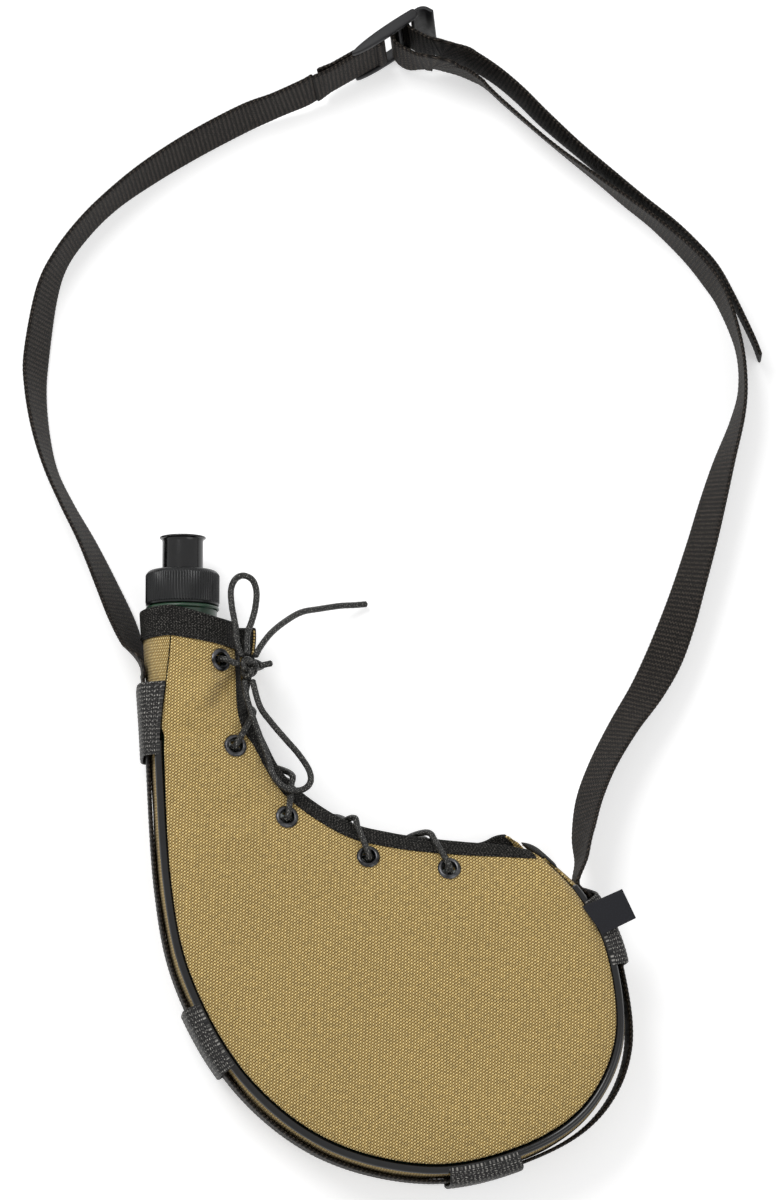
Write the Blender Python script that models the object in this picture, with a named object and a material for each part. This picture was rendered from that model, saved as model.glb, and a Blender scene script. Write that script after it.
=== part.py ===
"""Laced canteen on a shoulder strap: a hollow flask with a screw cap and push-pull spout, in a sewn cover.

The canteen lies on its back. +Z points out of its front face, +Y along the neck towards the cap and +X to
the right. The origin is under the middle of the cover. All sizes are metres, written as millimetres * MM.
"""
import math

import bpy
import numpy as np

MM = 0.001
GAP = 0.3 * MM

# Cover: plan outline, seen from the front, as matching points down its two long edges.
# The convex edge is the middle of the gusset, the laced edge is the lip of the front panel.
CONVEX_EDGE = np.array([
    (-116.3, 116.0), (-112.3, 64.0), (-107.0, -14.0), (-96.1, -61.9), (-69.5, -107.5), (-29.7, -138.6),
    (20.1, -150.3), (64.6, -141.2), (96.0, -120.8), (112.0, -87.7), (109.1, -47.7), (96.1, -19.5),
    (75.5, 0.2)]) * MM
LACED_EDGE = np.array([
    (-70.5, 112.5), (-68.5, 74.0), (-59.5, 57.0), (-50.5, 40.0), (-38.0, 27.5), (-18.0, 15.5),
    (2.0, 10.5), (20.0, 8.0), (36.0, 6.5), (50.0, 5.5), (58.5, 4.4), (64.0, 3.3), (68.0, 2.2)]) * MM
BACK_LIP_AT_NECK = np.array((9.0, 0.0)) * MM
BACK_LIP_AT_END = np.array((-7.5, 11.0)) * MM
NECK_LIP_REACH = 0.14
END_LIP_REACH = 0.3
END_SEAM_REACH = 0.11

MID_HEIGHT = 25.0 * MM
FRONT_CROWN = MID_HEIGHT
NECK_CROWN = 22.5 * MM
BACK_CROWN = MID_HEIGHT + 1.8 * MM
GUSSET_WIDTH = 39.0 * MM
GUSSET_BULGE = 4.5 * MM
GUSSET_END_BULGE = 2.5 * MM
NECK_WRAP = 9.5 * MM
NECK_WRAP_LENGTH = 70.0 * MM
LIP_HEIGHT = 15.0 * MM
NECK_LIP_HEIGHT = 8.0 * MM
FRONT_LIP_REACH = 36.0 * MM
BACK_LIP_REACH = 52.0 * MM
SEAM_REACH = 26.0 * MM
NARROW_WIDTH = 48.0 * MM
NECK_LENGTH = 75.0 * MM
FABRIC = 1.0 * MM

# Trim
PIPING_DIAMETER = 4.0 * MM
PIPING_START = 62.0 * MM
PIPING_END = 538.0 * MM
PIPING_RAMP = 12.0 * MM
PIPING_OUT = 0.8 * MM
PIPING_DOWN = 0.6 * MM
TAPE = 0.8 * MM
LIP_TAPE_WIDTH = 7.6 * MM
LIP_TAPE_START_WIDTH = 2.9 * MM
LIP_TAPE_END_WIDTH = 4.5 * MM
LIP_TAPE_WIDENS = (6.0 * MM, 12.0 * MM)
COLLAR_TAPE_WIDTH = 13.5 * MM
END_TAPE_REACH = 0.93
EYELET_COUNT = 5
EYELET_FIRST = 20.0 * MM
EYELET_PITCH = 36.8 * MM
EYELET_SETBACKS = np.array((8.8, 13.6, 13.6, 13.2, 13.2)) * MM
EYELET_FLANGE_RADIUS = 5.5 * MM
EYELET_BORE_RADIUS = 3.1 * MM
EYELET_WALL = 0.6 * MM
EYELET_FLANGE = 0.7 * MM
EYELET_CURVE_ALLOWANCES = np.array((1.2, 0.5, 0.5, 0.5, 0.5)) * MM
EYELET_LIFT = 0.1 * MM
EYELET_SIDES = 12
PANEL_SHARES = np.array((0.0, 0.05, 0.11, 0.2, 0.34, 0.55, 0.76, 0.9, 1.0))
GUSSET_SHARES = np.linspace(-1.0, 1.0, 9)

# Webbing
WEBBING_WIDTH = 25.0 * MM
WEBBING = 1.6 * MM
KEEPER_WEBBING = 1.4 * MM
KEEPER_LENGTH = 34.5 * MM
KEEPER_STARTS = (35.0 * MM, 190.0 * MM, 344.0 * MM, 493.5 * MM)
KEEPER_SLACK = 1.2 * MM
KEEPER_SHARES = np.array((-1.0, -0.985, -0.94, -0.85, -0.7, -0.4, 0.0, 0.4, 0.7, 0.85, 0.94, 0.985, 1.0))
STRAP_PROUD = 3.0 * MM
STRAP_SLACK = 2.5 * MM
STRAP_STEP = 9.0 * MM

LABEL_CORNERS = np.array([(91.3, -23.8), (110.2, -15.2), (116.7, -28.9), (100.6, -36.9)]) * MM
LABEL_HEIGHTS = (MID_HEIGHT + FRONT_CROWN - 1.4 * MM, MID_HEIGHT + GUSSET_WIDTH / 2 + 1.9 * MM)
LABEL = 0.6 * MM

# Flask
FLASK_WALL = 1.5 * MM
FLASK_EASE = 2.3 * MM
FLASK_CROWN = MID_HEIGHT - 1.8 * MM
FLASK_LACED_SETBACK = 13.0 * MM
FLASK_SQUARENESS = 1.0
FLASK_NECK_SHARES = (0.02, 0.045, 0.07, 0.095, 0.12)
FLASK_END_START = 0.84
FLASK_REACH = 0.95
FLASK_SECTIONS = 15
FLASK_SIDES = 18
NECK_X = -96.4 * MM
NECK_RADIUS = 16.4 * MM
FINISH_RADIUS = 14.6 * MM
NECK_BORE_RADIUS = 12.6 * MM
BEAD_RADIUS = 17.5 * MM
NECK_FOOT_Y = 111.0 * MM
BEAD_Y = 118.6 * MM
BEAD_WIDTH = 2.2 * MM
RIM_Y = 133.0 * MM

# Screw thread of neck and cap
THREAD_PITCH = 4.0 * MM
THREAD_DEPTH = 1.1 * MM
THREAD_WIDTH = 1.2 * MM
THREAD_TURNS = 1.25
THREAD_START_Y = 123.5 * MM
THREAD_ROOT = 0.4 * MM
THREAD_SIDES = 23

# Cap
CAP_CLEARANCE = 0.4 * MM
CAP_WALL = 1.1 * MM
CAP_TOP = 1.8 * MM
CAP_CHAMFER = 2.4 * MM
RIB_COUNT = 30
RIB_DEPTH = 0.4 * MM
GASKET = 1.5 * MM
GASKET_WIDTH = 3.0 * MM
SPOUT_RADIUS = 7.4 * MM
SPOUT_WALL = 1.8 * MM
SPOUT_HEIGHT = 14.8 * MM
PIN_RADIUS = 2.2 * MM
FLOW_HOLE_RADIUS = 1.2 * MM
FLOW_HOLES = 3

# Push-pull valve
VALVE_WALL = 2.0 * MM
VALVE_TOP = 1.6 * MM
VALVE_RIM = 1.3 * MM
VALVE_RIM_DEPTH = 3.3 * MM
VALVE_SIDES = 28

# Lace and its route away from the eyelets, as plan points with heights above the ground
LACE_DIAMETER = 3.0 * MM
KNOT_PLACE = np.array((-65.6, 88.3, 45.0)) * MM
KNOT_RADII = np.array((4.6, 6.0, 4.2)) * MM
KNOT_REACH = 10.0 * MM
SHORT_LOOP = np.array([
    (-69.5, 94.8, 46.5), (-71.2, 100.3, 46.0), (-72.1, 109.1, 45.5), (-73.6, 118.0, 44.0), (-73.9, 125.9, 42.0),
    (-71.7, 131.2, 40.0), (-67.9, 133.0, 39.0), (-63.7, 130.9, 39.0), (-61.8, 125.3, 39.5), (-62.4, 117.4, 41.0),
    (-64.1, 110.7, 42.5), (-66.3, 103.8, 44.5), (-66.8, 96.2, 46.5)]) * MM
LONG_LOOP = np.array([
    (-67.9, 82.5, 45.5), (-66.2, 73.2, 46.0), (-63.5, 64.5, 46.8), (-60.2, 55.7, 46.0), (-57.0, 47.0, 47.0),
    (-54.4, 38.1, 48.5), (-50.6, 32.7, 49.0), (-45.1, 30.1, 48.5), (-39.7, 30.8, 47.0), (-36.4, 34.3, 45.5),
    (-36.9, 39.9, 44.0), (-41.7, 47.4, 44.0), (-48.3, 54.8, 45.0), (-54.8, 62.3, 45.5), (-60.3, 69.9, 46.8),
    (-63.2, 80.0, 46.8)]) * MM
LONG_TAIL = np.array([
    (-62.6, 93.4, 46.0), (-60.0, 98.4, 44.5), (-54.8, 105.6, 40.0), (-47.9, 112.1, 33.0), (-39.9, 117.7, 25.0),
    (-30.6, 120.6, 17.0), (-20.7, 123.1, 10.0), (-13.2, 124.2, 5.5), (-7.3, 125.1, 3.2)]) * MM
SHORT_TAIL = np.array([(-60.2, 89.2, 45.3), (-57.4, 89.9, 45.2), (-54.4, 90.6, 44.8)]) * MM
LACE_OVER = 3.1 * MM
LACE_UNDER = 4.5 * MM
LACE_CROSSING = (1.9 * MM, -2.9 * MM)
LACE_INSIDE = (-7.0 * MM, -10.0 * MM)

# Strap routes on the ground: x, y, lean in degrees, height of the lower edge. The lean carries the upper
# edge to the left of the way that the route runs.
STRAP_LEFT = [
    (-119.0, 98.8, 20.0, 8.2), (-124.8, 114.2, 28.0, 3.8), (-132.5, 132.2, 25.0, 0.9), (-141.9, 152.5, 19.5, 0.3),
    (-151.6, 170.5, 15.5, 0.3), (-159.5, 187.5, 14.0, 0.3), (-164.5, 205.9, 18.0, 0.3), (-167.1, 225.1, 22.5, 0.2),
    (-166.9, 242.0, 26.0, 0.2), (-162.3, 272.3, 21.5, 0.2), (-155.5, 290.1, 14.0, 0.3), (-144.0, 306.2, 12.0, 0.3),
    (-130.5, 319.9, 12.0, 0.3), (-113.8, 333.0, 16.0, 0.3), (-92.1, 347.2, 18.5, 0.2), (-67.8, 360.6, 18.5, 0.6),
    (-52.5, 367.0, 15.0, 2.0)]
STRAP_RIGHT = [
    (93.5, 0.8, -6.5, 11.1), (94.7, 13.9, -17.0, 9.0), (98.1, 30.5, -23.0, 6.4), (104.6, 46.8, -25.0, 4.4),
    (114.7, 64.9, -29.0, 2.3), (126.4, 82.7, -36.0, 0.7), (134.6, 98.3, -40.0, 0.1), (141.4, 115.7, -37.0, 0.1),
    (146.8, 132.3, -32.0, 0.1), (153.6, 154.9, -27.5, 0.2), (159.0, 174.8, -23.5, 0.2), (164.6, 194.6, -17.0, 0.3),
    (171.3, 215.9, -7.5, 0.4), (174.0, 232.7, 0.0, 0.5), (172.3, 251.8, 2.0, 0.5), (165.2, 272.9, -3.5, 0.5),
    (158.0, 285.0, -6.0, 0.4), (147.5, 297.4, -3.5, 0.5), (132.0, 311.5, 1.5, 0.5), (117.7, 322.5, 4.0, 0.5),
    (105.1, 332.3, 8.0, 0.4), (81.9, 350.3, 12.0, 0.3), (59.5, 369.6, 11.5, 0.3), (50.7, 377.7, 11.0, 0.6),
    (45.3, 381.4, 8.0, 1.5), (38.3, 384.6, 6.0, 3.0), (31.0, 386.2, 6.0, 5.5)]
STRAP_TAIL = [
    (40.5, 391.6, 4.5, 3.6), (54.1, 384.2, 3.0, 1.2), (66.0, 374.6, 2.5, 0.5), (78.1, 362.6, 2.0, 0.5),
    (94.7, 347.7, -1.0, 0.5), (114.7, 331.0, -2.0, 0.5), (125.6, 322.2, -3.0, 0.5), (140.3, 310.8, -4.0, 0.5),
    (152.0, 300.4, -6.5, 0.5), (161.7, 289.5, -7.5, 0.4), (169.0, 276.0, -6.5, 0.5), (178.8, 255.5, -7.0, 0.5),
    (182.7, 245.3, -6.5, 0.5)]

# Buckle, a ladder lock that stands on its edge at the top of the strap. Its plan is given along and across
# a line from a place near its left end; the webbing passes up behind the grip bar, over it and down again.
BUCKLE_PLACE = np.array((-9.3, 385.4)) * MM
BUCKLE_ANGLE = math.radians(35)
BUCKLE_LEAN = math.radians(12)
BUCKLE_RISE = 0.7 * MM
BUCKLE_ENDS = (-4.0 * MM, 34.0 * MM)
BUCKLE_RAIL = 3.0 * MM
BUCKLE_THICKNESS = 5.6 * MM
BUCKLE_BAR = 2.4 * MM
BUCKLE_BARS = np.array([(11.0, 0.0), (23.5, 0.6), (31.5, 0.0)]) * MM
BUCKLE_LIP = np.array([(32.0, 0.4), (35.5, 0.6), (38.3, -0.9), (40.0, -4.2)]) * MM
BUCKLE_LIP_THICKNESS = 1.7 * MM
BUCKLE_SIDE_CLEARANCE = 0.8 * MM
SEWN_LEG = 37.0 * MM
SEWN_SPREAD = 0.97 * MM
SEWN_TURN = math.radians(4.5)
THREADED_ROUTE = np.array([
    (24.5, -17.5), (20.3, -13.0), (17.9, -8.8), (17.3, -4.5), (18.7, -0.2), (20.9, 2.4), (23.6, 3.2),
    (26.0, 2.0), (27.1, -0.8), (27.4, -4.2), (29.4, -8.8), (33.6, -14.2)]) * MM


def clear_scene():
    for obj in list(bpy.data.objects):
        bpy.data.objects.remove(obj, do_unlink=True)


def material(name, colour, roughness, metallic=0.0):
    """A plain Principled material; colour is linear red, green and blue."""
    made = bpy.data.materials.new(name)
    made.use_nodes = True
    shader = made.node_tree.nodes["Principled BSDF"]
    shader.inputs["Base Color"].default_value = (*colour, 1.0)
    shader.inputs["Roughness"].default_value = roughness
    shader.inputs["Metallic"].default_value = metallic
    return made


def mesh_object(name, points, faces, finish, smooth=35):
    """One object from points and faces, shaded smooth up to the given angle in degrees."""
    mesh = bpy.data.meshes.new(name)
    mesh.from_pydata([tuple(map(float, p)) for p in points], [], faces)
    mesh.validate()
    mesh.shade_smooth()
    mesh.set_sharp_from_angle(angle=math.radians(smooth))
    mesh.materials.append(finish)
    obj = bpy.data.objects.new(name, mesh)
    bpy.context.scene.collection.objects.link(obj)
    return obj


def rings_object(name, rings, finish, closed=False, smooth=35):
    """A closed body from rings of points, each ring joined to the next; the end rings are filled."""
    rings = np.asarray(rings, dtype=float)
    count, around = rings.shape[:2]
    points = rings.reshape(-1, 3)
    faces = []
    for i in range(count if closed else count - 1):
        a, b = i * around, (i + 1) % count * around
        for j in range(around):
            k = (j + 1) % around
            faces.append((a + j, a + k, b + k, b + j))
    if not closed:
        faces.append(tuple(range(around))[::-1])
        faces.append(tuple((count - 1) * around + j for j in range(around)))
    if signed_volume(points, faces) < 0:
        faces = [face[::-1] for face in faces]
    return mesh_object(name, points, faces, finish, smooth)


def signed_volume(points, faces):
    """Volume inside the faces, negative where they point inwards."""
    total = 0.0
    for face in faces:
        first = points[face[0]]
        for i in range(1, len(face) - 1):
            total += float(np.dot(first, np.cross(points[face[i]], points[face[i + 1]])))
    return total / 6.0


def unit(vectors):
    return vectors / np.linalg.norm(vectors, axis=-1, keepdims=True)


def smoothstep(x):
    x = np.clip(x, 0.0, 1.0)
    return x * x * (3.0 - 2.0 * x)


def smooth_curve(points, at):
    """Points of a cubic curve through the given points; at runs from 0 to the last point's number."""
    points = np.asarray(points, dtype=float)
    at = np.atleast_1d(np.asarray(at, dtype=float))
    slopes = np.gradient(points, axis=0)
    i = np.clip(np.floor(at).astype(int), 0, len(points) - 2)
    f = (at - i)[:, None]
    return ((2 * f**3 - 3 * f**2 + 1) * points[i] + (f**3 - 2 * f**2 + f) * slopes[i]
            + (3 * f**2 - 2 * f**3) * points[i + 1] + (f**3 - f**2) * slopes[i + 1])


def even_points(points, spacing):
    """Points at an even spacing on the smooth curve through the given points."""
    fine = smooth_curve(points, np.linspace(0, len(points) - 1, 40 * len(points)))
    run = np.r_[0.0, np.cumsum(np.linalg.norm(np.diff(fine[:, :3], axis=0), axis=1))]
    count = max(2, int(round(run[-1] / spacing)) + 1)
    at = np.linspace(0.0, run[-1], count)
    return np.stack([np.interp(at, run, fine[:, c]) for c in range(fine.shape[1])], axis=1)


class Outline:
    """The cover's plan outline and section sizes at a row of stations from the neck to the far end."""

    def __init__(self):
        steps = self.station_steps()
        self.convex = smooth_curve(CONVEX_EDGE, steps)
        self.front_lip = smooth_curve(LACED_EDGE, steps)
        along = np.linalg.norm(np.diff(self.convex, axis=0), axis=1)
        self.run = np.r_[0.0, np.cumsum(along)]
        self.length = self.run[-1]
        share = self.run / self.length
        tangent = unit(np.gradient(self.convex, self.run, axis=0))
        self.outward = np.stack([tangent[:, 1], -tangent[:, 0]], axis=1)
        at_neck = 1.0 - smoothstep(share / NECK_LIP_REACH)
        at_end = smoothstep((share - 1.0 + END_LIP_REACH) / END_LIP_REACH)
        self.back_lip = (self.front_lip + at_neck[:, None] * BACK_LIP_AT_NECK
                         + at_end[:, None] * BACK_LIP_AT_END)
        seam_end = smoothstep((share - 1.0 + END_SEAM_REACH) / END_SEAM_REACH)
        self.inset = (GUSSET_BULGE + NECK_WRAP * (1.0 - smoothstep(self.run / NECK_WRAP_LENGTH))
                      - (GUSSET_BULGE - GUSSET_END_BULGE) * smoothstep((share - 0.94) / 0.06))
        self.front_seam = self.convex - self.outward * self.inset[:, None]
        self.back_seam = self.front_seam + seam_end[:, None] * BACK_LIP_AT_END
        self.neckness = 1.0 - smoothstep(self.run / NECK_LENGTH)
        self.endness = smoothstep((share - 0.76) / 0.2)

    @staticmethod
    def station_steps():
        """Sparse down the straight side, closer round the belly and closest at the tight right end."""
        return np.concatenate([np.linspace(0, 1, 4)[:-1], np.linspace(1, 2, 4)[:-1],
                               np.linspace(2, 8, 20)[:-1], np.linspace(8, 12, 15)])

    def at(self, name, run):
        """A station value at a distance along the convex edge, straight between stations."""
        values = getattr(self, name)
        run = np.atleast_1d(run)
        if values.ndim == 1:
            return np.interp(run, self.run, values)
        return np.stack([np.interp(run, self.run, values[:, c]) for c in range(values.shape[1])], axis=1)

    def stretch(self, start, end):
        """The station distances from start to end, with both ends."""
        inside = self.run[(self.run > start + MM) & (self.run < end - MM)]
        return np.r_[start, inside, end]


class Panel:
    """The front (side = 1) or back (side = -1) of the cover, as a surface over run and share across.

    Across a station the outer surface rises from the lip on a parabola, stays at its crown and falls on a
    second parabola to the seam. Below the ground it is cut flat, which gives the back its resting face.
    """

    def __init__(self, outline, side):
        self.outline = outline
        self.side = side
        self.lip_name = "front_lip" if side > 0 else "back_lip"
        self.seam_name = "front_seam" if side > 0 else "back_seam"
        self.crown = FRONT_CROWN if side > 0 else BACK_CROWN
        self.reach = FRONT_LIP_REACH if side > 0 else BACK_LIP_REACH

    def plain(self, run, across):
        """Outer surface points for matching arrays of run and share across, 0 at the lip, 1 at the seam."""
        outline = self.outline
        run, across = np.broadcast_arrays(run, across)
        flat_run = run.ravel()
        lip = outline.at(self.lip_name, flat_run).reshape(*run.shape, 2)
        seam = outline.at(self.seam_name, flat_run).reshape(*run.shape, 2)
        neck = outline.at("neckness", flat_run).reshape(run.shape)
        end = outline.at("endness", flat_run).reshape(run.shape)
        width = np.linalg.norm(seam - lip, axis=-1)
        seam_rise = GUSSET_WIDTH / 2
        lip_rise = LIP_HEIGHT + (NECK_LIP_HEIGHT - LIP_HEIGHT) * neck
        lip_rise = lip_rise + (seam_rise - MM - lip_rise) * end
        crown = self.crown + (NECK_CROWN - self.crown) * neck
        crown = seam_rise + (crown - seam_rise) * np.minimum(1.0, width / NARROW_WIDTH)
        lip_reach = np.minimum(self.reach, 0.6 * width)
        seam_reach = np.minimum(SEAM_REACH, 0.4 * width)
        from_lip = np.clip(1.0 - across * width / lip_reach, 0.0, 1.0)
        from_seam = np.clip(1.0 - (1.0 - across) * width / seam_reach, 0.0, 1.0)
        rise = crown - (crown - lip_rise) * from_lip**2 - (crown - seam_rise) * from_seam**2
        plan = lip + (seam - lip) * across[..., None]
        height = np.maximum(MID_HEIGHT + self.side * rise, 0.0)
        return np.concatenate([plan, height[..., None]], axis=-1)

    def normal(self, run, across):
        """Outward normals, from small steps along and across the surface."""
        run, across = np.broadcast_arrays(np.asarray(run, float), np.asarray(across, float))
        step = 0.5 * MM
        last = self.outline.length
        along = self.plain(np.minimum(run + step, last), across) - self.plain(np.maximum(run - step, 0), across)
        share = 0.01
        over = self.plain(run, np.minimum(across + share, 1)) - self.plain(run, np.maximum(across - share, 0))
        normals = unit(np.cross(along, over))
        return normals * np.where(normals[..., 2:] * self.side < 0, -1.0, 1.0)

    def offset(self, run, across, height):
        """Points at a height over the outer surface; the surface may be left straight on past its lip."""
        run, across = np.broadcast_arrays(np.asarray(run, float), np.asarray(across, float))
        inside = np.clip(across, 0.0, 1.0)
        base = self.plain(run, inside)
        beyond = (across - inside)[..., None]
        slope = (self.plain(run, np.full_like(inside, 0.02)) - self.plain(run, np.zeros_like(inside))) / 0.02
        points = base + slope * beyond + self.normal(run, inside) * np.asarray(height)[..., None]
        if self.side < 0:
            points[..., 2] = np.maximum(points[..., 2], 0.0)
        return points

    def width(self, run):
        """Length of cloth over the first tenth of the section, times ten, to turn lengths into shares."""
        a, b = self.plain(run, np.zeros_like(run)), self.plain(run, np.full_like(run, 0.1))
        return np.linalg.norm(b - a, axis=-1) * 10.0

    def find(self, place):
        """Run and share across of the surface point over a plan place."""
        run = np.linspace(0.0, self.outline.length, 1200)
        lip = self.outline.at(self.lip_name, run)
        seam = self.outline.at(self.seam_name, run)
        over = seam - lip
        away = place - lip
        turn = over[:, 0] * away[:, 1] - over[:, 1] * away[:, 0]
        share = (over * away).sum(axis=1) / (over**2).sum(axis=1)
        miss = np.abs(turn) / np.linalg.norm(over, axis=1) + 10.0 * np.maximum(0.0, np.abs(share - 0.5) - 0.5)
        best = int(np.argmin(miss))
        return run[best], float(share[best])


class Gusset:
    """The strip between the panels: a half ellipse across, bulging outwards between the two seams."""

    def __init__(self, outline):
        self.outline = outline

    def plain(self, run, angle, extra=0.0):
        """Points at an angle, 90 degrees at the front seam and -90 at the back; extra grows the ellipse."""
        outline = self.outline
        run, angle, extra = np.broadcast_arrays(np.asarray(run, float), np.asarray(angle, float),
                                                np.asarray(extra, float))
        flat = run.ravel()
        front = outline.at("front_seam", flat).reshape(*run.shape, 2)
        back = outline.at("back_seam", flat).reshape(*run.shape, 2)
        outward = outline.at("outward", flat).reshape(*run.shape, 2)
        inset = outline.at("inset", flat).reshape(run.shape)
        share = (1.0 + np.sin(angle)) / 2.0
        plan = back + (front - back) * share[..., None]
        plan = plan + outward * ((inset + extra) * np.cos(angle))[..., None]
        height = MID_HEIGHT + (GUSSET_WIDTH / 2 + extra) * np.sin(angle)
        return np.concatenate([plan, height[..., None]], axis=-1)

    def edge_angle(self, run):
        """The angle at which the strip stops, short of the piping or of the other panel."""
        angles = np.linspace(math.pi / 2, 0.4, 300)
        stops = []
        for inset, share in zip(self.outline.at("inset", np.atleast_1d(run)), piped(np.atleast_1d(run))):
            away = inset * np.cos(angles) - PIPING_OUT * share
            down = GUSSET_WIDTH / 2 * (1.0 - np.sin(angles)) - PIPING_DOWN * share
            clear = np.hypot(away, down) > GAP * 1.3 + PIPING_DIAMETER / 2 * share
            stops.append(angles[np.argmax(clear)])
        return np.array(stops)


def piped(run):
    """1 where the seams hold piping, 0 towards the neck and the far end, where they are plain."""
    return (smoothstep((run - PIPING_START + 2 * PIPING_RAMP) / PIPING_RAMP)
            * smoothstep((PIPING_END + 2 * PIPING_RAMP - run) / PIPING_RAMP))


def panel_edge(outline, panel, run):
    """The share across at which a panel stops, just short of the seam line."""
    width = np.linalg.norm(outline.at(panel.seam_name, run) - outline.at(panel.lip_name, run), axis=1)
    stop = GAP / 2 + piped(run) * PIPING_DIAMETER * 0.45
    return 1.0 - stop / width


def cover_panel(name, outline, panel, eyelets, finish):
    """A sheet of cover cloth with its eyelet holes cut through."""
    run = outline.run
    shares = PANEL_SHARES[None, :] * panel_edge(outline, panel, run)[:, None]
    run_grid = np.repeat(run[:, None], len(PANEL_SHARES), axis=1)
    outer = panel.offset(run_grid, shares, np.zeros_like(shares))
    inner = panel.offset(run_grid, shares, np.full_like(shares, -FABRIC))
    rings = np.concatenate([outer, inner[:, ::-1]], axis=1)
    sheet = rings_object(name, rings, finish)
    cutters = [eyelet_cutter(f"{name}_hole_{i + 1}", place, normal, finish)
               for i, (place, normal) in enumerate(eyelets)]
    for cutter in cutters:
        cut = sheet.modifiers.new(cutter.name, "BOOLEAN")
        cut.operation = "DIFFERENCE"
        cut.object = cutter
    return sheet


def frame_of(normal):
    """Two unit directions square to a normal, the first lying level."""
    level = unit(np.cross((0.0, 0.0, 1.0), normal) if abs(normal[2]) < 0.999 else np.array((1.0, 0.0, 0.0)))
    return level, np.cross(normal, level)


def turned(profile, centre, axis, sides):
    """Rings of a profile of radius and height turned about an axis; each ring runs along the profile."""
    level, other = frame_of(np.asarray(axis, float))
    angles = np.linspace(0.0, 2.0 * math.pi, sides, endpoint=False)
    radial = np.cos(angles)[:, None] * level + np.sin(angles)[:, None] * other
    profile = np.asarray(profile)
    return (np.asarray(centre) + radial[:, None, :] * profile[None, :, :1]
            + np.asarray(axis)[None, None, :] * profile[None, :, 1:])


def eyelet_cutter(name, place, normal, finish):
    radius = EYELET_BORE_RADIUS + EYELET_WALL + GAP
    depth = 4.0 * FABRIC
    level, other = frame_of(normal)
    angles = np.linspace(0.0, 2.0 * math.pi, EYELET_SIDES, endpoint=False)
    circle = radius * (np.cos(angles)[:, None] * level + np.sin(angles)[:, None] * other)
    rings = [place + circle + normal * depth, place + circle - normal * depth]
    cutter = rings_object(name, rings, finish)
    cutter.hide_render = True
    cutter.display_type = "WIRE"
    return cutter


def eyelet(name, place, normal, allowance, finish):
    """A spool of thin metal: flange outside, barrel through the cloth, washer inside."""
    under, over = -(FABRIC + allowance + GAP), GAP + EYELET_LIFT
    barrel = EYELET_BORE_RADIUS + EYELET_WALL
    profile = [(EYELET_BORE_RADIUS, over + EYELET_FLANGE / 2), (barrel, over + EYELET_FLANGE),
               (EYELET_FLANGE_RADIUS, over), (barrel, over), (barrel, under), (EYELET_FLANGE_RADIUS, under),
               (EYELET_FLANGE_RADIUS, under - EYELET_FLANGE), (EYELET_BORE_RADIUS, under - EYELET_FLANGE)]
    return rings_object(name, turned(profile, place, normal, EYELET_SIDES), finish, closed=True)


def lip_spot(outline, panel, distance):
    """Plan place, inward direction and run of the lip at a distance along it from the neck."""
    lip = getattr(outline, panel.lip_name)
    along = np.r_[0.0, np.cumsum(np.linalg.norm(np.diff(lip, axis=0), axis=1))]
    here = np.array([np.interp(distance, along, lip[:, c]) for c in range(2)])
    ahead = np.array([np.interp(distance + 2 * MM, along, lip[:, c]) for c in range(2)])
    behind = np.array([np.interp(distance - 2 * MM, along, lip[:, c]) for c in range(2)])
    tangent = unit(ahead - behind)
    return here, np.array((tangent[1], -tangent[0])), float(np.interp(distance, along, outline.run))


def eyelet_places(outline, panel):
    """Centres and normals of a panel's eyelets, spaced along its lip and set back from it."""
    places = []
    for i in range(EYELET_COUNT):
        here, inward, run = lip_spot(outline, panel, EYELET_FIRST + i * EYELET_PITCH)
        run, share = panel.find(here + inward * EYELET_SETBACKS[i])
        point = panel.plain(np.array([run]), np.array([share]))[0]
        places.append((point, panel.normal(np.array([run]), np.array([share]))[0]))
    return places


def gusset_strip(outline, gusset, finish):
    run = outline.run[:, None]
    angle = gusset.edge_angle(outline.run)[:, None] * GUSSET_SHARES[None, :]
    outer = gusset.plain(run, angle)
    inner = gusset.plain(run, angle, -FABRIC)
    return rings_object("gusset", np.concatenate([outer, inner[:, ::-1]], axis=1), finish)


def cord(name, points, diameter, finish):
    """A cord as a bevelled curve through closely spaced points, with its ends filled."""
    curve = bpy.data.curves.new(name, "CURVE")
    curve.dimensions = "3D"
    curve.bevel_depth = diameter / 2
    curve.bevel_resolution = 2
    curve.use_fill_caps = True
    spline = curve.splines.new("POLY")
    spline.points.add(len(points) - 1)
    for point, place in zip(spline.points, points):
        point.co = (*map(float, place), 1.0)
    curve.materials.append(finish)
    obj = bpy.data.objects.new(name, curve)
    bpy.context.scene.collection.objects.link(obj)
    return obj


def piping(name, outline, side, finish):
    """The cord sewn into a seam, lying in the corner between panel and gusset."""
    run = outline.stretch(PIPING_START, PIPING_END)
    seam = outline.at("front_seam" if side > 0 else "back_seam", run)
    plan = seam + outline.at("outward", run) * PIPING_OUT
    height = np.full(len(run), MID_HEIGHT + side * (GUSSET_WIDTH / 2 - PIPING_DOWN))
    return cord(name, np.column_stack([plan, height]), PIPING_DIAMETER, finish)


def folded_tape(offset_point, width):
    """One section of a tape folded over a cloth edge, from a function of distance in and height."""
    out, inn = GAP + TAPE, -(FABRIC + GAP + TAPE)
    corners = [(width, out), (0.0, out), (-(GAP + TAPE), GAP), (-(GAP + TAPE), -FABRIC - GAP), (0.0, inn),
               (width, inn), (width, inn + TAPE), (-GAP, inn + TAPE), (-GAP, GAP), (width, GAP)]
    return [offset_point(distance, height) for distance, height in corners]


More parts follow.
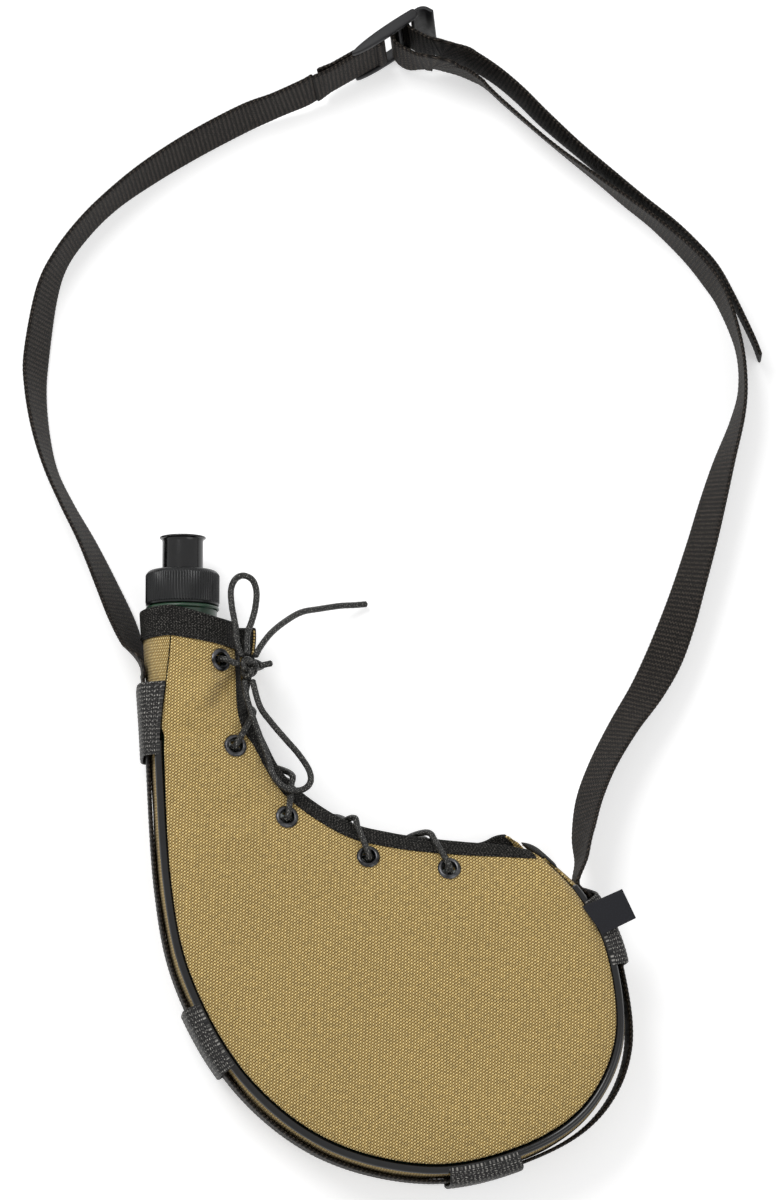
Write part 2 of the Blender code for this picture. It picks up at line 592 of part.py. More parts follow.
def lip_tape(name, outline, panel, finish):
    """Binding along a panel's laced edge, from under the collar to just short of the far corner."""
    rings = []
    start, narrow, full = (lip_spot(outline, panel, distance)[2] for distance in
                           (COLLAR_TAPE_WIDTH + 2 * GAP, EYELET_FIRST + LIP_TAPE_WIDENS[0],
                            EYELET_FIRST + LIP_TAPE_WIDENS[1]))
    last = outline.length - 1.7 * LIP_TAPE_WIDTH
    for run in np.sort(np.r_[outline.stretch(start, last), narrow, full]):
        at = np.array([run])
        width = panel.width(at)[0]
        covers = LIP_TAPE_WIDTH if run >= full else LIP_TAPE_START_WIDTH
        covers = min(covers, LIP_TAPE_END_WIDTH + 0.25 * (last - run))
        rings.append(folded_tape(
            lambda distance, height: panel.offset(at, np.array([distance / width]), np.array([height]))[0],
            min(covers, width - LIP_TAPE_WIDTH / 2)))
    return rings_object(name, rings, finish)


def beyond(surface, start, step, distance):
    """A surface point at a distance from an edge, straight on past the edge where it is negative."""
    edge, ahead = surface(start), surface(start + step * 2 * MM)
    speed = np.linalg.norm(ahead - edge) / (2 * MM)
    if distance >= 0:
        return surface(start + step * distance / speed)
    return edge + unit(edge - ahead) * -distance


def gusset_end_tape(outline, gusset, finish):
    """Binding over the end of the gusset, between the two panels' corners."""
    last = math.asin(END_TAPE_REACH)
    rings = []
    for angle in np.linspace(last, -last, 9):
        def place(distance, height, angle=angle):
            return beyond(lambda run: gusset.plain(run, angle, height), outline.length, -1.0, distance)
        rings.append(folded_tape(place, LIP_TAPE_WIDTH))
    return rings_object("gusset_end_tape", rings, finish)


def collar_tape(outline, front, back, gusset, finish):
    """Wide binding round the neck opening, over the front panel, the gusset and the back panel."""
    rings = []
    last = gusset.edge_angle(0.0)[0]

    def panel_ring(panel, share):
        edge = panel_edge(outline, panel, np.array([0.0]))[0]

        def place(distance, height):
            return beyond(lambda run: panel.offset(run, share * edge, height), 0.0, 1.0, distance)
        return folded_tape(place, COLLAR_TAPE_WIDTH)

    def gusset_ring(angle):
        def place(distance, height):
            return beyond(lambda run: gusset.plain(run, angle, height), 0.0, 1.0, distance)
        return folded_tape(place, COLLAR_TAPE_WIDTH)

    rings += [panel_ring(front, share) for share in PANEL_SHARES]
    rings += [gusset_ring(angle) for angle in last * GUSSET_SHARES[::-1]]
    rings += [panel_ring(back, share) for share in PANEL_SHARES[::-1]]
    return rings_object("collar_tape", rings, finish)


def keeper(name, outline, gusset, start, finish):
    """A webbing loop sewn down at both seams, standing off the gusset by the strap that runs under it."""
    runs = outline.stretch(start, start + KEEPER_LENGTH)
    reach = GUSSET_WIDTH / 2 - PIPING_DIAMETER * 0.82
    under = GAP + WEBBING + KEEPER_SLACK
    rings = []
    for run in runs:
        at = np.array([run])
        inset = outline.at("inset", at)[0]
        share = KEEPER_SHARES
        cloth = np.sqrt(1.0 - (share * reach / (GUSSET_WIDTH / 2))**2) * inset
        arch = (inset + under) * (1.0 - np.abs(share)**6) ** (1 / 6)
        inner = np.maximum(arch, cloth + GAP)
        outer = inner + KEEPER_WEBBING
        seam = outline.at("front_seam", at)[0], outline.at("back_seam", at)[0]
        outward = outline.at("outward", at)[0]
        height = share * reach
        mid = seam[1] + (seam[0] - seam[1]) * ((1.0 + height / (GUSSET_WIDTH / 2)) / 2.0)[:, None]
        lines = [np.column_stack([mid + outward * out[:, None], MID_HEIGHT + height]) for out in (outer, inner)]
        rings.append(np.concatenate([lines[0], lines[1][::-1]]))
    return rings_object(name, rings, finish)


def strap_on_gusset(outline, finish):
    """The strap's run round the gusset, under the four keeper loops, standing square to the ground."""
    start, end = strap_span()
    runs = outline.stretch(start, end)
    centre = strap_line(outline, runs)
    outward = outline.at("outward", runs)
    rings = []
    for place, out in zip(centre, outward):
        rings.append([(*(place + out * across), MID_HEIGHT + up) for across, up in
                      ((-WEBBING / 2, -WEBBING_WIDTH / 2), (WEBBING / 2, -WEBBING_WIDTH / 2),
                       (WEBBING / 2, WEBBING_WIDTH / 2), (-WEBBING / 2, WEBBING_WIDTH / 2))])
    return rings_object("strap_gusset_run", rings, finish)


def strap_span():
    return KEEPER_STARTS[0] - STRAP_PROUD, KEEPER_STARTS[-1] + KEEPER_LENGTH + STRAP_PROUD


def strap_leaves(outline):
    """For each free strap run, two route points just off the end of the run on the gusset, in line with it."""
    start, end = strap_span()
    off = np.array((1.5 * GAP, 6.0 * MM))
    return [[(*(place / MM), 0.0, (MID_HEIGHT - WEBBING_WIDTH / 2 - GAP) / MM) for place in strap_line(outline, runs)]
            for runs in (start - off, end + off)]


def strap_line(outline, runs):
    """Plan places of the strap's middle on the gusset; it stands off a little before the last loop."""
    span = (runs - KEEPER_STARTS[2] - KEEPER_LENGTH) / (KEEPER_STARTS[3] - KEEPER_STARTS[2] - KEEPER_LENGTH)
    slack = STRAP_SLACK * np.sin(math.pi * np.clip(span, 0.0, 1.0))**2
    return outline.at("convex", runs) + outline.at("outward", runs) * (GAP + WEBBING / 2 + slack)[:, None]


def ribbon_rings(places, uprights):
    """Webbing along a line: four corners round each place, across the line and along its upright."""
    face = unit(np.cross(np.gradient(places, axis=0), uprights))
    corners = ((-0.5, -0.5), (0.5, -0.5), (0.5, 0.5), (-0.5, 0.5))
    return np.stack([places + face * WEBBING * a + uprights * WEBBING_WIDTH * b for a, b in corners], axis=1)


def ground_route(route):
    """Middle line and uprights of a strap's route, given as x, y, lean, edge height and rake.

    They are in mm and degrees; a lean tips the upper edge leftwards, and a rake, which may be left out,
    tips it forwards by that share of its height.
    """
    rows = np.array([(*row, 0.0)[:5] for row in route])
    even = even_points(rows, STRAP_STEP / MM)
    lean = np.radians(even[:, 2])
    height = (even[:, 3] * MM + WEBBING_WIDTH / 2 * np.cos(lean) + WEBBING / 2 * np.abs(np.sin(lean)) + GAP)
    along = unit(np.gradient(even[:, :2], axis=0))
    flat = np.zeros(len(even))
    level = np.column_stack([-along[:, 1], along[:, 0], flat])
    upright = (np.array((0.0, 0.0, 1.0)) * np.cos(lean)[:, None] + level * np.sin(lean)[:, None]
               + np.column_stack([along, flat]) * even[:, 4:5])
    return np.column_stack([even[:, :2] * MM, height]), unit(upright)


def lean_over(points):
    """Places of points given along and across the buckle's own line and up its leaning bars."""
    x, y, z = np.moveaxis(np.asarray(points, dtype=float), -1, 0)
    along = np.array((math.cos(BUCKLE_ANGLE), math.sin(BUCKLE_ANGLE)))
    across = np.array((-along[1], along[0]))
    out = y * math.cos(BUCKLE_LEAN) + z * math.sin(BUCKLE_LEAN)
    plan = BUCKLE_PLACE + x[..., None] * along + out[..., None] * across
    height = z * math.cos(BUCKLE_LEAN) - y * math.sin(BUCKLE_LEAN) + BUCKLE_RISE
    return np.concatenate([plan, height[..., None]], axis=-1)


def web_height():
    """Height up the bars of the webbing's middle line inside the buckle."""
    return GAP + BUCKLE_RAIL + BUCKLE_SIDE_CLEARANCE + WEBBING_WIDTH / 2


def at_buckle(end, inner, arriving):
    """Two route points of a free strap, just off an end of a route in the buckle and in line with it."""
    end, outwards = np.asarray(end), unit(np.asarray(end) - np.asarray(inner))
    corner = lean_over((0.0, 0.0, 0.0))
    upright, ahead = lean_over((0.0, 0.0, 1.0)) - corner, lean_over((*outwards, 0.0)) - corner
    ahead = unit(ahead[:2]) * (-1.0 if arriving else 1.0)
    sideways, forwards = upright[:2] @ np.array((-ahead[1], ahead[0])), upright[:2] @ ahead
    lean = math.atan2(sideways, upright[2])
    rake = forwards / math.hypot(sideways, upright[2])
    rows = []
    for off in (1.5 * GAP, 6.0 * MM):
        x, y, z = lean_over((*(end + outwards * off), web_height()))
        edge = z - WEBBING_WIDTH / 2 * math.cos(lean) - WEBBING / 2 * abs(math.sin(lean)) - GAP
        rows.append((x / MM, y / MM, math.degrees(lean), edge / MM, rake))
    return rows[::-1] if arriving else rows


def free_strap(name, route, finish):
    return rings_object(name, ribbon_rings(*ground_route(route)), finish)


def level_strap(name, local, finish):
    """Webbing that stands along the buckle's bars, on a route given along and across the buckle's line."""
    even = even_points(local, 1.5 * MM)
    places = np.column_stack([even, np.full(len(even), web_height())])
    rings = ribbon_rings(places, np.tile((0.0, 0.0, 1.0), (len(places), 1)))
    return rings_object(name, lean_over(rings), finish)


def sewn_places(local):
    """Buckle places of points given from the sewn bar, turned about it as the sewn leg runs a little outwards."""
    x, y = np.moveaxis(np.asarray(local, dtype=float), -1, 0)
    c, s = math.cos(SEWN_TURN), math.sin(SEWN_TURN)
    return BUCKLE_BARS[0] + np.stack([x * c + y * s, y * c - x * s], axis=-1)


def sewn_route():
    """Out along one side to the sewn bar, round it and back along the other side."""
    turn = BUCKLE_BAR / 2 + GAP * 1.3 + WEBBING / 2
    meet = math.asin(SEWN_SPREAD / turn)
    loop = [(turn * math.cos(a), turn * math.sin(a)) for a in np.linspace(meet - math.pi, math.pi - meet, 13)]
    start = -turn * math.cos(meet) - 3 * MM
    legs = np.linspace(-SEWN_LEG, start, 9)
    out = [(x, -SEWN_SPREAD) for x in legs]
    return sewn_places(out + loop + [(x, SEWN_SPREAD) for x in legs[::-1][:-1]])


def prism(name, local, low, high, finish):
    """An outline given along and across the buckle's line, carried up its bars from low to high."""
    rings = [lean_over(np.column_stack([local, np.full(len(local), z)])) for z in (low, high)]
    return rings_object(name, rings, finish)


def buckle(finish):
    """Two rounded rails, the sewn bar, the grip bar and the end bar with its lift lip, in one body."""
    low, high = GAP, GAP + 2 * (BUCKLE_RAIL + BUCKLE_SIDE_CLEARANCE) + WEBBING_WIDTH
    angles = np.linspace(0.0, 2.0 * math.pi, 24, endpoint=False)
    middle, half = sum(BUCKLE_ENDS) / 2, (BUCKLE_ENDS[1] - BUCKLE_ENDS[0]) / 2
    lens = np.column_stack([middle + half * np.cos(angles), BUCKLE_THICKNESS / 2 * np.sin(angles)])
    body = prism("buckle", lens, low, low + BUCKLE_RAIL, finish)
    parts = [prism("buckle_far_rail", lens, high - BUCKLE_RAIL, high, finish)]
    small = np.linspace(0.0, 2.0 * math.pi, 12, endpoint=False)
    for i, bar in enumerate(BUCKLE_BARS):
        ring = bar + BUCKLE_BAR / 2 * np.column_stack([np.cos(small), np.sin(small)])
        parts.append(prism(f"buckle_bar_{i + 1}", ring, low + BUCKLE_RAIL / 2,
                           high - BUCKLE_RAIL / 2, finish))
    path = even_points(BUCKLE_LIP, 1.2 * MM)
    along = unit(np.gradient(path, axis=0))
    side = np.column_stack([-along[:, 1], along[:, 0]]) * BUCKLE_LIP_THICKNESS / 2
    parts.append(prism("buckle_lip", np.concatenate([path + side, (path - side)[::-1]]),
                       low + BUCKLE_RAIL / 4, high - BUCKLE_RAIL / 4, finish))
    for other in parts:
        join(body, other)
    return body


def label_plate(finish):
    """A small woven label, sewn in at the front seam and lying over the piping and the last loop."""
    plan = LABEL_CORNERS
    rings = []
    for s in np.linspace(0.0, 1.0, 5):
        a, b = plan[0] + (plan[1] - plan[0]) * s, plan[3] + (plan[2] - plan[3]) * s
        low = LABEL_HEIGHTS[0] + (LABEL_HEIGHTS[1] - LABEL_HEIGHTS[0]) * s
        rings.append([(*a, low), (*b, low), (*b, low + LABEL), (*a, low + LABEL)])
    return rings_object("label", rings, finish)


def revolve_y(name, profile, sides, finish):
    """A closed profile of radius and y turned about the neck's axis."""
    rings = turned(profile, (NECK_X, 0.0, MID_HEIGHT), (0.0, 1.0, 0.0), sides)
    return rings_object(name, rings, finish, closed=True)


def flask_rings(outline, inward):
    """Rings of the flask's wall, moved inwards by a distance, from the rim to the rounded far end."""
    angles = np.linspace(0.0, 2.0 * math.pi, FLASK_SIDES, endpoint=False)
    cosine, sine = np.cos(angles), np.sin(angles)
    bead_low, bead_high = BEAD_Y - BEAD_WIDTH / 2, BEAD_Y + BEAD_WIDTH / 2
    if inward > 0:
        neck = [(NECK_BORE_RADIUS, RIM_Y), (NECK_BORE_RADIUS, bead_high), (NECK_RADIUS - inward, bead_low - 2 * MM)]
    else:
        neck = [(FINISH_RADIUS, RIM_Y), (FINISH_RADIUS, bead_high), (BEAD_RADIUS, bead_high - 0.4 * MM),
                (BEAD_RADIUS, bead_low + 0.4 * MM), (NECK_RADIUS, bead_low)]
    neck.append((NECK_RADIUS - inward, NECK_FOOT_Y))
    rings = [np.column_stack([NECK_X + r * cosine, np.full(FLASK_SIDES, y), MID_HEIGHT + r * sine]) for r, y in neck]
    share = np.r_[FLASK_NECK_SHARES, np.linspace(FLASK_NECK_SHARES[-1], FLASK_REACH, FLASK_SECTIONS + 1)[1:]]
    for s in share:
        run = np.array([s * outline.length])
        lip, seam = outline.at("front_lip", run)[0], outline.at("front_seam", run)[0]
        convex, outward = outline.at("convex", run)[0], outline.at("outward", run)[0]
        across = unit(seam - lip)
        width = np.linalg.norm(seam - lip)
        near = lip + across * min(FLASK_LACED_SETBACK, 0.4 * width)
        far = convex - outward * FLASK_EASE
        swell = smoothstep(s / 0.2)
        close = max(0.0, (s - FLASK_END_START) / (FLASK_REACH - FLASK_END_START))
        round_off = math.sqrt(max(0.0, 1.0 - close**2))
        half = max(np.linalg.norm(far - near) / 2 - inward, 0.4 * MM)
        crown = (NECK_RADIUS + (FLASK_CROWN - NECK_RADIUS) * swell) * round_off - inward
        crown = max(crown, 0.4 * MM)
        power = 2.0 / (2.0 + FLASK_SQUARENESS * swell)
        level = np.sign(cosine) * np.abs(cosine) ** power
        upright = np.sign(sine) * np.abs(sine) ** power
        middle = (near + far) / 2
        direction = unit(near - far)
        section = np.column_stack([middle + direction * half * level[:, None], MID_HEIGHT + crown * upright])
        turn = smoothstep(s / FLASK_NECK_SHARES[-1])
        circle = np.column_stack([NECK_X + (NECK_RADIUS - inward) * cosine,
                                  np.full(FLASK_SIDES, middle[1]), MID_HEIGHT + (NECK_RADIUS - inward) * sine])
        rings.append(circle * (1.0 - turn) + section * turn)
    return rings


def flask(outline, finish):
    """A blow-moulded flask: outer wall, rim, inner wall, one closed skin open at the neck, with its thread."""
    outer = flask_rings(outline, 0.0)
    inner = flask_rings(outline, FLASK_WALL)[:-1]
    body = rings_object("flask", outer[::-1] + inner, finish)
    thread = helix_ridge("flask_thread", FINISH_RADIUS - THREAD_ROOT, FINISH_RADIUS + THREAD_DEPTH,
                         THREAD_START_Y, finish)
    join(body, thread)
    return body


def helix_ridge(name, root, crest, start, finish):
    """A right-hand screw ridge about the neck's axis, thick at its root and thinner at its crest."""
    steps = int(THREAD_TURNS * THREAD_SIDES) + 1
    along = np.linspace(0.0, THREAD_TURNS, steps)
    turn = 2.0 * math.pi * along
    lift = start + THREAD_PITCH * along
    rings = []
    for t, y in zip(turn, lift):
        radial = np.array((math.cos(t), 0.0, -math.sin(t)))
        centre = np.array((NECK_X, y, MID_HEIGHT))
        rings.append([centre + radial * r + np.array((0.0, w, 0.0)) for r, w in
                      ((root, -THREAD_WIDTH / 2), (crest, -THREAD_WIDTH / 4),
                       (crest, THREAD_WIDTH / 4), (root, THREAD_WIDTH / 2))])
    return rings_object(name, rings, finish)


def join(body, other, operation="UNION"):
    """Joins or cuts one body with another, and keeps only the first as a piece."""
    step = body.modifiers.new(other.name, "BOOLEAN")
    step.operation = operation
    step.object = other
    other.hide_render = True
    other.display_type = "WIRE"


def cap_sizes():
    """Radius of the cap's bore, its outer radius between ribs, and the heights of its base, ceiling and top."""
    bore = FINISH_RADIUS + THREAD_DEPTH + CAP_CLEARANCE
    ceiling = RIM_Y + GASKET + 2 * GAP
    return bore, bore + CAP_WALL, BEAD_Y + BEAD_WIDTH / 2 + GAP, ceiling, ceiling + CAP_TOP


def cap(finish):
    """The ribbed screw cap with its spout tube, the pin that stops the valve and the flow holes."""
    bore, outer, base, ceiling, top = cap_sizes()
    tip = top + SPOUT_HEIGHT
    tube = SPOUT_RADIUS - SPOUT_WALL
    profile = [(SPOUT_RADIUS + 2 * MM, ceiling, 0), (bore, ceiling, 0), (bore, base, 0), (outer, base, 0),
               (outer, base + 0.8 * MM, 0), (outer, base + 1.1 * MM, 1), (outer, top - CAP_CHAMFER, 1),
               (outer - 0.3 * CAP_CHAMFER, top - 0.3 * CAP_CHAMFER, 0.6), (outer - CAP_CHAMFER, top, 0),
               (SPOUT_RADIUS, top, 0), (SPOUT_RADIUS, tip, 0), (tube, tip, 0), (tube, top, 0),
               (PIN_RADIUS, top, 0), (PIN_RADIUS, tip + VALVE_TOP - 0.2 * MM, 0)]
    angles = np.linspace(0.0, 2.0 * math.pi, 2 * RIB_COUNT, endpoint=False)
    ribs = RIB_DEPTH * (np.arange(2 * RIB_COUNT) % 2)
    rings = [np.column_stack([NECK_X + (r + ribs * share) * np.cos(angles), np.full(len(angles), y),
                              MID_HEIGHT - (r + ribs * share) * np.sin(angles)]) for r, y, share in profile]
    body = rings_object("cap", rings, finish)
    join(body, helix_ridge("cap_thread", bore + THREAD_ROOT, FINISH_RADIUS + CAP_CLEARANCE,
                           THREAD_START_Y + THREAD_PITCH / 2, finish))
    ring = np.linspace(0.0, 2.0 * math.pi, 12, endpoint=False)
    for i in range(FLOW_HOLES):
        turn = 2.0 * math.pi * i / FLOW_HOLES + math.pi / 2
        middle = NECK_X + (PIN_RADIUS + tube) / 2 * math.cos(turn), MID_HEIGHT + (PIN_RADIUS + tube) / 2 * math.sin(turn)
        hole = [np.column_stack([middle[0] + FLOW_HOLE_RADIUS * np.cos(ring), np.full(12, y),
                                 middle[1] + FLOW_HOLE_RADIUS * np.sin(ring)]) for y in (ceiling - MM, top + MM)]
        join(body, rings_object(f"flow_hole_{i + 1}", hole, finish), "DIFFERENCE")
    return body


def gasket(finish):
    low, outer = RIM_Y + GAP, cap_sizes()[0] - GAP
    inner = outer - GASKET_WIDTH
    profile = [(inner, low), (outer, low), (outer, low + GASKET), (inner, low + GASKET)]
    return revolve_y("cap_gasket", profile, VALVE_SIDES, finish)


def valve(finish):
    """The push-pull sleeve over the spout tube; its top hole is stopped by the cap's pin when pushed down."""
    top = cap_sizes()[4]
    low, under = top + GAP, top + SPOUT_HEIGHT + GAP
    high = under + VALVE_TOP
    bore = SPOUT_RADIUS + GAP
    outer, hole = bore + VALVE_WALL, PIN_RADIUS + GAP
    profile = [(bore, low), (outer, low), (outer, high - VALVE_RIM_DEPTH - 1.2 * MM),
               (outer + VALVE_RIM, high - VALVE_RIM_DEPTH), (outer + VALVE_RIM, high - 1.4 * MM),
               (outer, high - 0.4 * MM), (outer - MM, high), (hole, high), (hole, under), (bore, under)]
    return revolve_y("spout_valve", profile, VALVE_SIDES, finish)


def lip_height_place(outline, panel, distance, beyond_lip, height):
    """A point at a distance along a lip, beyond it in plan, and a height away from the panel's lip."""
    here, inward, run = lip_spot(outline, panel, distance)
    level = panel.plain(np.array([run]), np.array([0.0]))[0, 2]
    return np.array((*(here - inward * beyond_lip), level + panel.side * height))


def lace_by_cloth(outline, panel, distance, setback, height):
    """A point set back from a lip, at a height over the cloth there."""
    here, inward, _ = lip_spot(outline, panel, distance)
    run, share = panel.find(here + inward * setback)
    return panel.offset(np.array([run]), np.array([share]), np.array([height]))[0]


def lace_leg(outline, panel, other, i, crossing):
    """Points of the lace from over one eyelet to just under the next eyelet of the other panel."""
    place, normal = eyelet_places(outline, panel)[i]
    goal, goal_normal = eyelet_places(outline, other)[i - 1]
    start, stop = EYELET_FIRST + i * EYELET_PITCH, EYELET_FIRST + (i - 1) * EYELET_PITCH
    at = start + (stop - start) * np.array((0.2, 0.3, 0.5, 0.68, 0.8))
    top = lace_by_cloth(outline, panel, at[0], 2.5 * MM, LACE_OVER)
    nose = lip_height_place(outline, panel, at[1], LACE_OVER + 0.2 * MM, 0.0)
    cross = (lip_height_place(outline, panel, at[2], crossing, 0.0)
             + lip_height_place(outline, other, at[2], crossing, 0.0)) / 2
    under = lace_by_cloth(outline, other, at[3], 1.5 * MM, -LACE_UNDER - 0.8 * MM)
    deeper = EYELET_CURVE_ALLOWANCES[i - 1] - EYELET_CURVE_ALLOWANCES[-1]
    inner = lace_by_cloth(outline, other, at[4], 6.5 * MM, -LACE_UNDER - deeper)
    return [place + normal * LACE_OVER * 0.8, top, nose, cross, under, inner,
            goal - goal_normal * (LACE_UNDER * 0.85 + 2 * deeper)]


def laced_run(outline, front, back, finish):
    """The lace's whole held run: from the knot down one zigzag, across inside the far end and up the other."""
    panels = (front, back)
    strands = []
    for first in (0, 1):
        points = []
        for step, i in enumerate(range(EYELET_COUNT - 1, 0, -1)):
            panel, other = panels[(first + step) % 2], panels[(first + step + 1) % 2]
            points += lace_leg(outline, panel, other, i, LACE_CROSSING[first])
        strands.append(points)
    (front_end, front_normal), (back_end, back_normal) = (eyelet_places(outline, p)[-1] for p in panels)
    inside = [front_end - front_normal * LACE_UNDER,
              lip_height_place(outline, front, EYELET_FIRST + 4 * EYELET_PITCH, *LACE_INSIDE),
              lip_height_place(outline, back, EYELET_FIRST + 4 * EYELET_PITCH, *LACE_INSIDE),
              back_end - back_normal * LACE_UNDER]
    front_first, front_first_normal = eyelet_places(outline, front)[0]
    back_first, back_first_normal = eyelet_places(outline, back)[0]
    to_knot = [front_first + front_first_normal * LACE_OVER * 0.8,
               front_first * 0.5 + KNOT_PLACE * 0.5 + np.array((0.0, 0.0, 2.5 * MM)),
               off_knot(KNOT_PLACE + np.array((-KNOT_RADII[0], 1.5 * MM, 1.0 * MM)))]
    from_back = [back_first + back_first_normal * LACE_OVER * 0.8,
                 lace_by_cloth(outline, back, EYELET_FIRST - 3 * MM, 3 * MM, LACE_OVER + 0.4 * MM),
                 lip_height_place(outline, back, EYELET_FIRST - 1 * MM, LACE_OVER + 1.4 * MM, 0.0),
                 lip_height_place(outline, front, EYELET_FIRST + 3 * MM, LACE_OVER + 2.2 * MM, -6 * MM),
                 off_knot(KNOT_PLACE + np.array((-1.0 * MM, 1.0 * MM, -KNOT_RADII[2])))]
    ends = (to_knot, from_back)
    route = ends[0][::-1] + strands[0][::-1] + inside + strands[1] + ends[1]
    return cord("lace_laced", even_points(np.array(route), 5.4 * MM), LACE_DIAMETER, finish)


def knot(finish):
    """A square-looking lump of lace, pulled tight."""
    rings = []
    turn = np.linspace(0.0, 2.0 * math.pi, 12, endpoint=False)
    for lift in np.linspace(-0.96, 0.96, 8):
        level = math.sqrt(1.0 - lift**2)
        bumps = level * (1.0 + 0.03 * np.cos(3 * turn + 2.0 * lift)) / 1.03
        rings.append(KNOT_PLACE + KNOT_RADII * np.column_stack(
            [bumps * np.cos(turn), bumps * np.sin(turn), np.full(12, lift)]))
    return rings_object("lace_knot", rings, finish)


def off_knot(place):
    """The point just off the knot, straight out from its middle towards a place near it."""
    outwards = unit(place - KNOT_PLACE)
    return KNOT_PLACE + outwards * (1.0 / math.sqrt(np.sum((outwards / KNOT_RADII) ** 2)) + 1.4 * GAP)


def lace_stretch(name, route, finish):
    """A free stretch of the lace; each of its ends that is near the knot stops just off it."""
    route = [off_knot(p) if i in (0, len(route) - 1) and np.linalg.norm(p - KNOT_PLACE) < KNOT_REACH else p
             for i, p in enumerate(route)]
    return cord(name, even_points(np.array(route), 2.7 * LACE_DIAMETER), LACE_DIAMETER, finish)


def build():
    clear_scene()
    tan = material("tan_cloth", (0.36, 0.25, 0.13), 0.9)
    tape = material("black_tape", (0.015, 0.015, 0.016), 0.7)
    pipe = material("black_piping", (0.012, 0.012, 0.013), 0.35)
    webbing = material("black_webbing", (0.03, 0.026, 0.023), 0.8)
    navy = material("navy_label", (0.02, 0.025, 0.05), 0.85)
    steel = material("dark_eyelet_metal", (0.12, 0.12, 0.13), 0.4, 1.0)
    braid = material("black_lace", (0.02, 0.02, 0.02), 0.6)
    green = material("dark_green_plastic", (0.02, 0.07, 0.04), 0.35)
    black = material("black_plastic", (0.012, 0.012, 0.013), 0.4)
    rubber = material("grey_rubber", (0.1, 0.1, 0.1), 0.8)

    outline = Outline()
    front, back, gusset = Panel(outline, 1), Panel(outline, -1), Gusset(outline)
    for side, panel in (("front", front), ("back", back)):
        places = eyelet_places(outline, panel)
        cover_panel(f"cover_{side}", outline, panel, places, tan)
        for i, (place, normal) in enumerate(places):
            eyelet(f"eyelet_{side}_{i + 1}", place, normal, EYELET_CURVE_ALLOWANCES[i], steel)
        lip_tape(f"{side}_edge_tape", outline, panel, tape)
        piping(f"piping_{side}", outline, panel.side, pipe)
    gusset_strip(outline, gusset, tan)
    gusset_end_tape(outline, gusset, tape)
    collar_tape(outline, front, back, gusset, tape)
    for i, start in enumerate(KEEPER_STARTS):
        keeper(f"strap_loop_{i + 1}", outline, gusset, start, webbing)
    label_plate(navy)

    flask(outline, green)
    cap(black)
    gasket(rubber)
    valve(black)

    strap_on_gusset(outline, webbing)
    leaves = strap_leaves(outline)
    sewn, right, tail = sewn_places([(-SEWN_LEG, 0.0), (0.0, 0.0)]), THREADED_ROUTE[:2], THREADED_ROUTE[:-3:-1]
    free_strap("strap_left", leaves[0] + STRAP_LEFT + at_buckle(*sewn, True), webbing)
    free_strap("strap_right", leaves[1] + STRAP_RIGHT + at_buckle(*right, True), webbing)
    free_strap("strap_tail", at_buckle(*tail, False) + STRAP_TAIL, webbing)
    level_strap("strap_sewn_end", sewn_route(), webbing)
    level_strap("strap_threaded", THREADED_ROUTE, webbing)
    buckle(black)

    laced_run(outline, front, back, braid)
    knot(braid)
    lace_stretch("lace_short_loop", SHORT_LOOP, braid)
    lace_stretch("lace_long_loop", LONG_LOOP, braid)
    lace_stretch("lace_long_tail", LONG_TAIL, braid)
    lace_stretch("lace_short_tail", SHORT_TAIL, braid)


build()
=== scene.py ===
"""Looks of the laced canteen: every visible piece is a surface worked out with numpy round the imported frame.

Lengths are metres, written as millimetres * MM. The canteen lies on its back; +Z comes out of its front.
"""

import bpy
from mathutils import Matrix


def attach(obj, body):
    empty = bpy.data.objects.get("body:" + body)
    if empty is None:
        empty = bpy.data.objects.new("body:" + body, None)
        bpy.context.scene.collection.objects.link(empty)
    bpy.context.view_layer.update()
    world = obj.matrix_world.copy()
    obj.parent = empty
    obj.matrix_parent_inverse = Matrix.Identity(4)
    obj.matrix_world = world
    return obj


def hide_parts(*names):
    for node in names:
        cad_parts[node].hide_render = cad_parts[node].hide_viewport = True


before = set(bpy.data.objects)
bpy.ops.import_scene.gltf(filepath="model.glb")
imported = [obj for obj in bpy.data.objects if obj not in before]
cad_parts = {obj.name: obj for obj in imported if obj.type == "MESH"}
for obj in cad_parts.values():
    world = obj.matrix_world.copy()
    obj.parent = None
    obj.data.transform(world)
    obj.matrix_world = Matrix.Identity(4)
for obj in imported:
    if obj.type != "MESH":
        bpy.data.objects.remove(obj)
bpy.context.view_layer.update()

import math

import bpy
import numpy as np
from mathutils import Matrix, Vector

MM = 0.001
GAP = 0.3 * MM
SEED = 7
SHARP_ANGLE = math.radians(40)

# The photograph's camera: 781 x 1200 pixels, 571.4 mm tall at the point that it looks at.
EYE = Vector((-155.0, -235.0, 2500.0)) * MM
AIM = Vector((2.6, 124.0, 25.0)) * MM
VIEW_HEIGHT = 571.4 * MM
SENSOR = 36.0

# Cover, as in the CAD source: two long edges of the plan outline and the section sizes
CONVEX_EDGE = np.array([
    (-116.3, 116.0), (-112.3, 64.0), (-107.0, -14.0), (-96.1, -61.9), (-69.5, -107.5), (-29.7, -138.6),
    (20.1, -150.3), (64.6, -141.2), (96.0, -120.8), (112.0, -87.7), (109.1, -47.7), (96.1, -19.5),
    (75.5, 0.2)]) * MM
LACED_EDGE = np.array([
    (-70.5, 112.5), (-68.5, 74.0), (-59.5, 57.0), (-50.5, 40.0), (-38.0, 27.5), (-18.0, 15.5),
    (2.0, 10.5), (20.0, 8.0), (36.0, 6.5), (50.0, 5.5), (58.5, 4.4), (64.0, 3.3), (68.0, 2.2)]) * MM
BACK_LIP_AT_NECK = np.array((9.0, 0.0)) * MM
BACK_LIP_AT_END = np.array((-7.5, 11.0)) * MM
NECK_LIP_REACH, END_LIP_REACH, END_SEAM_REACH = 0.14, 0.3, 0.11
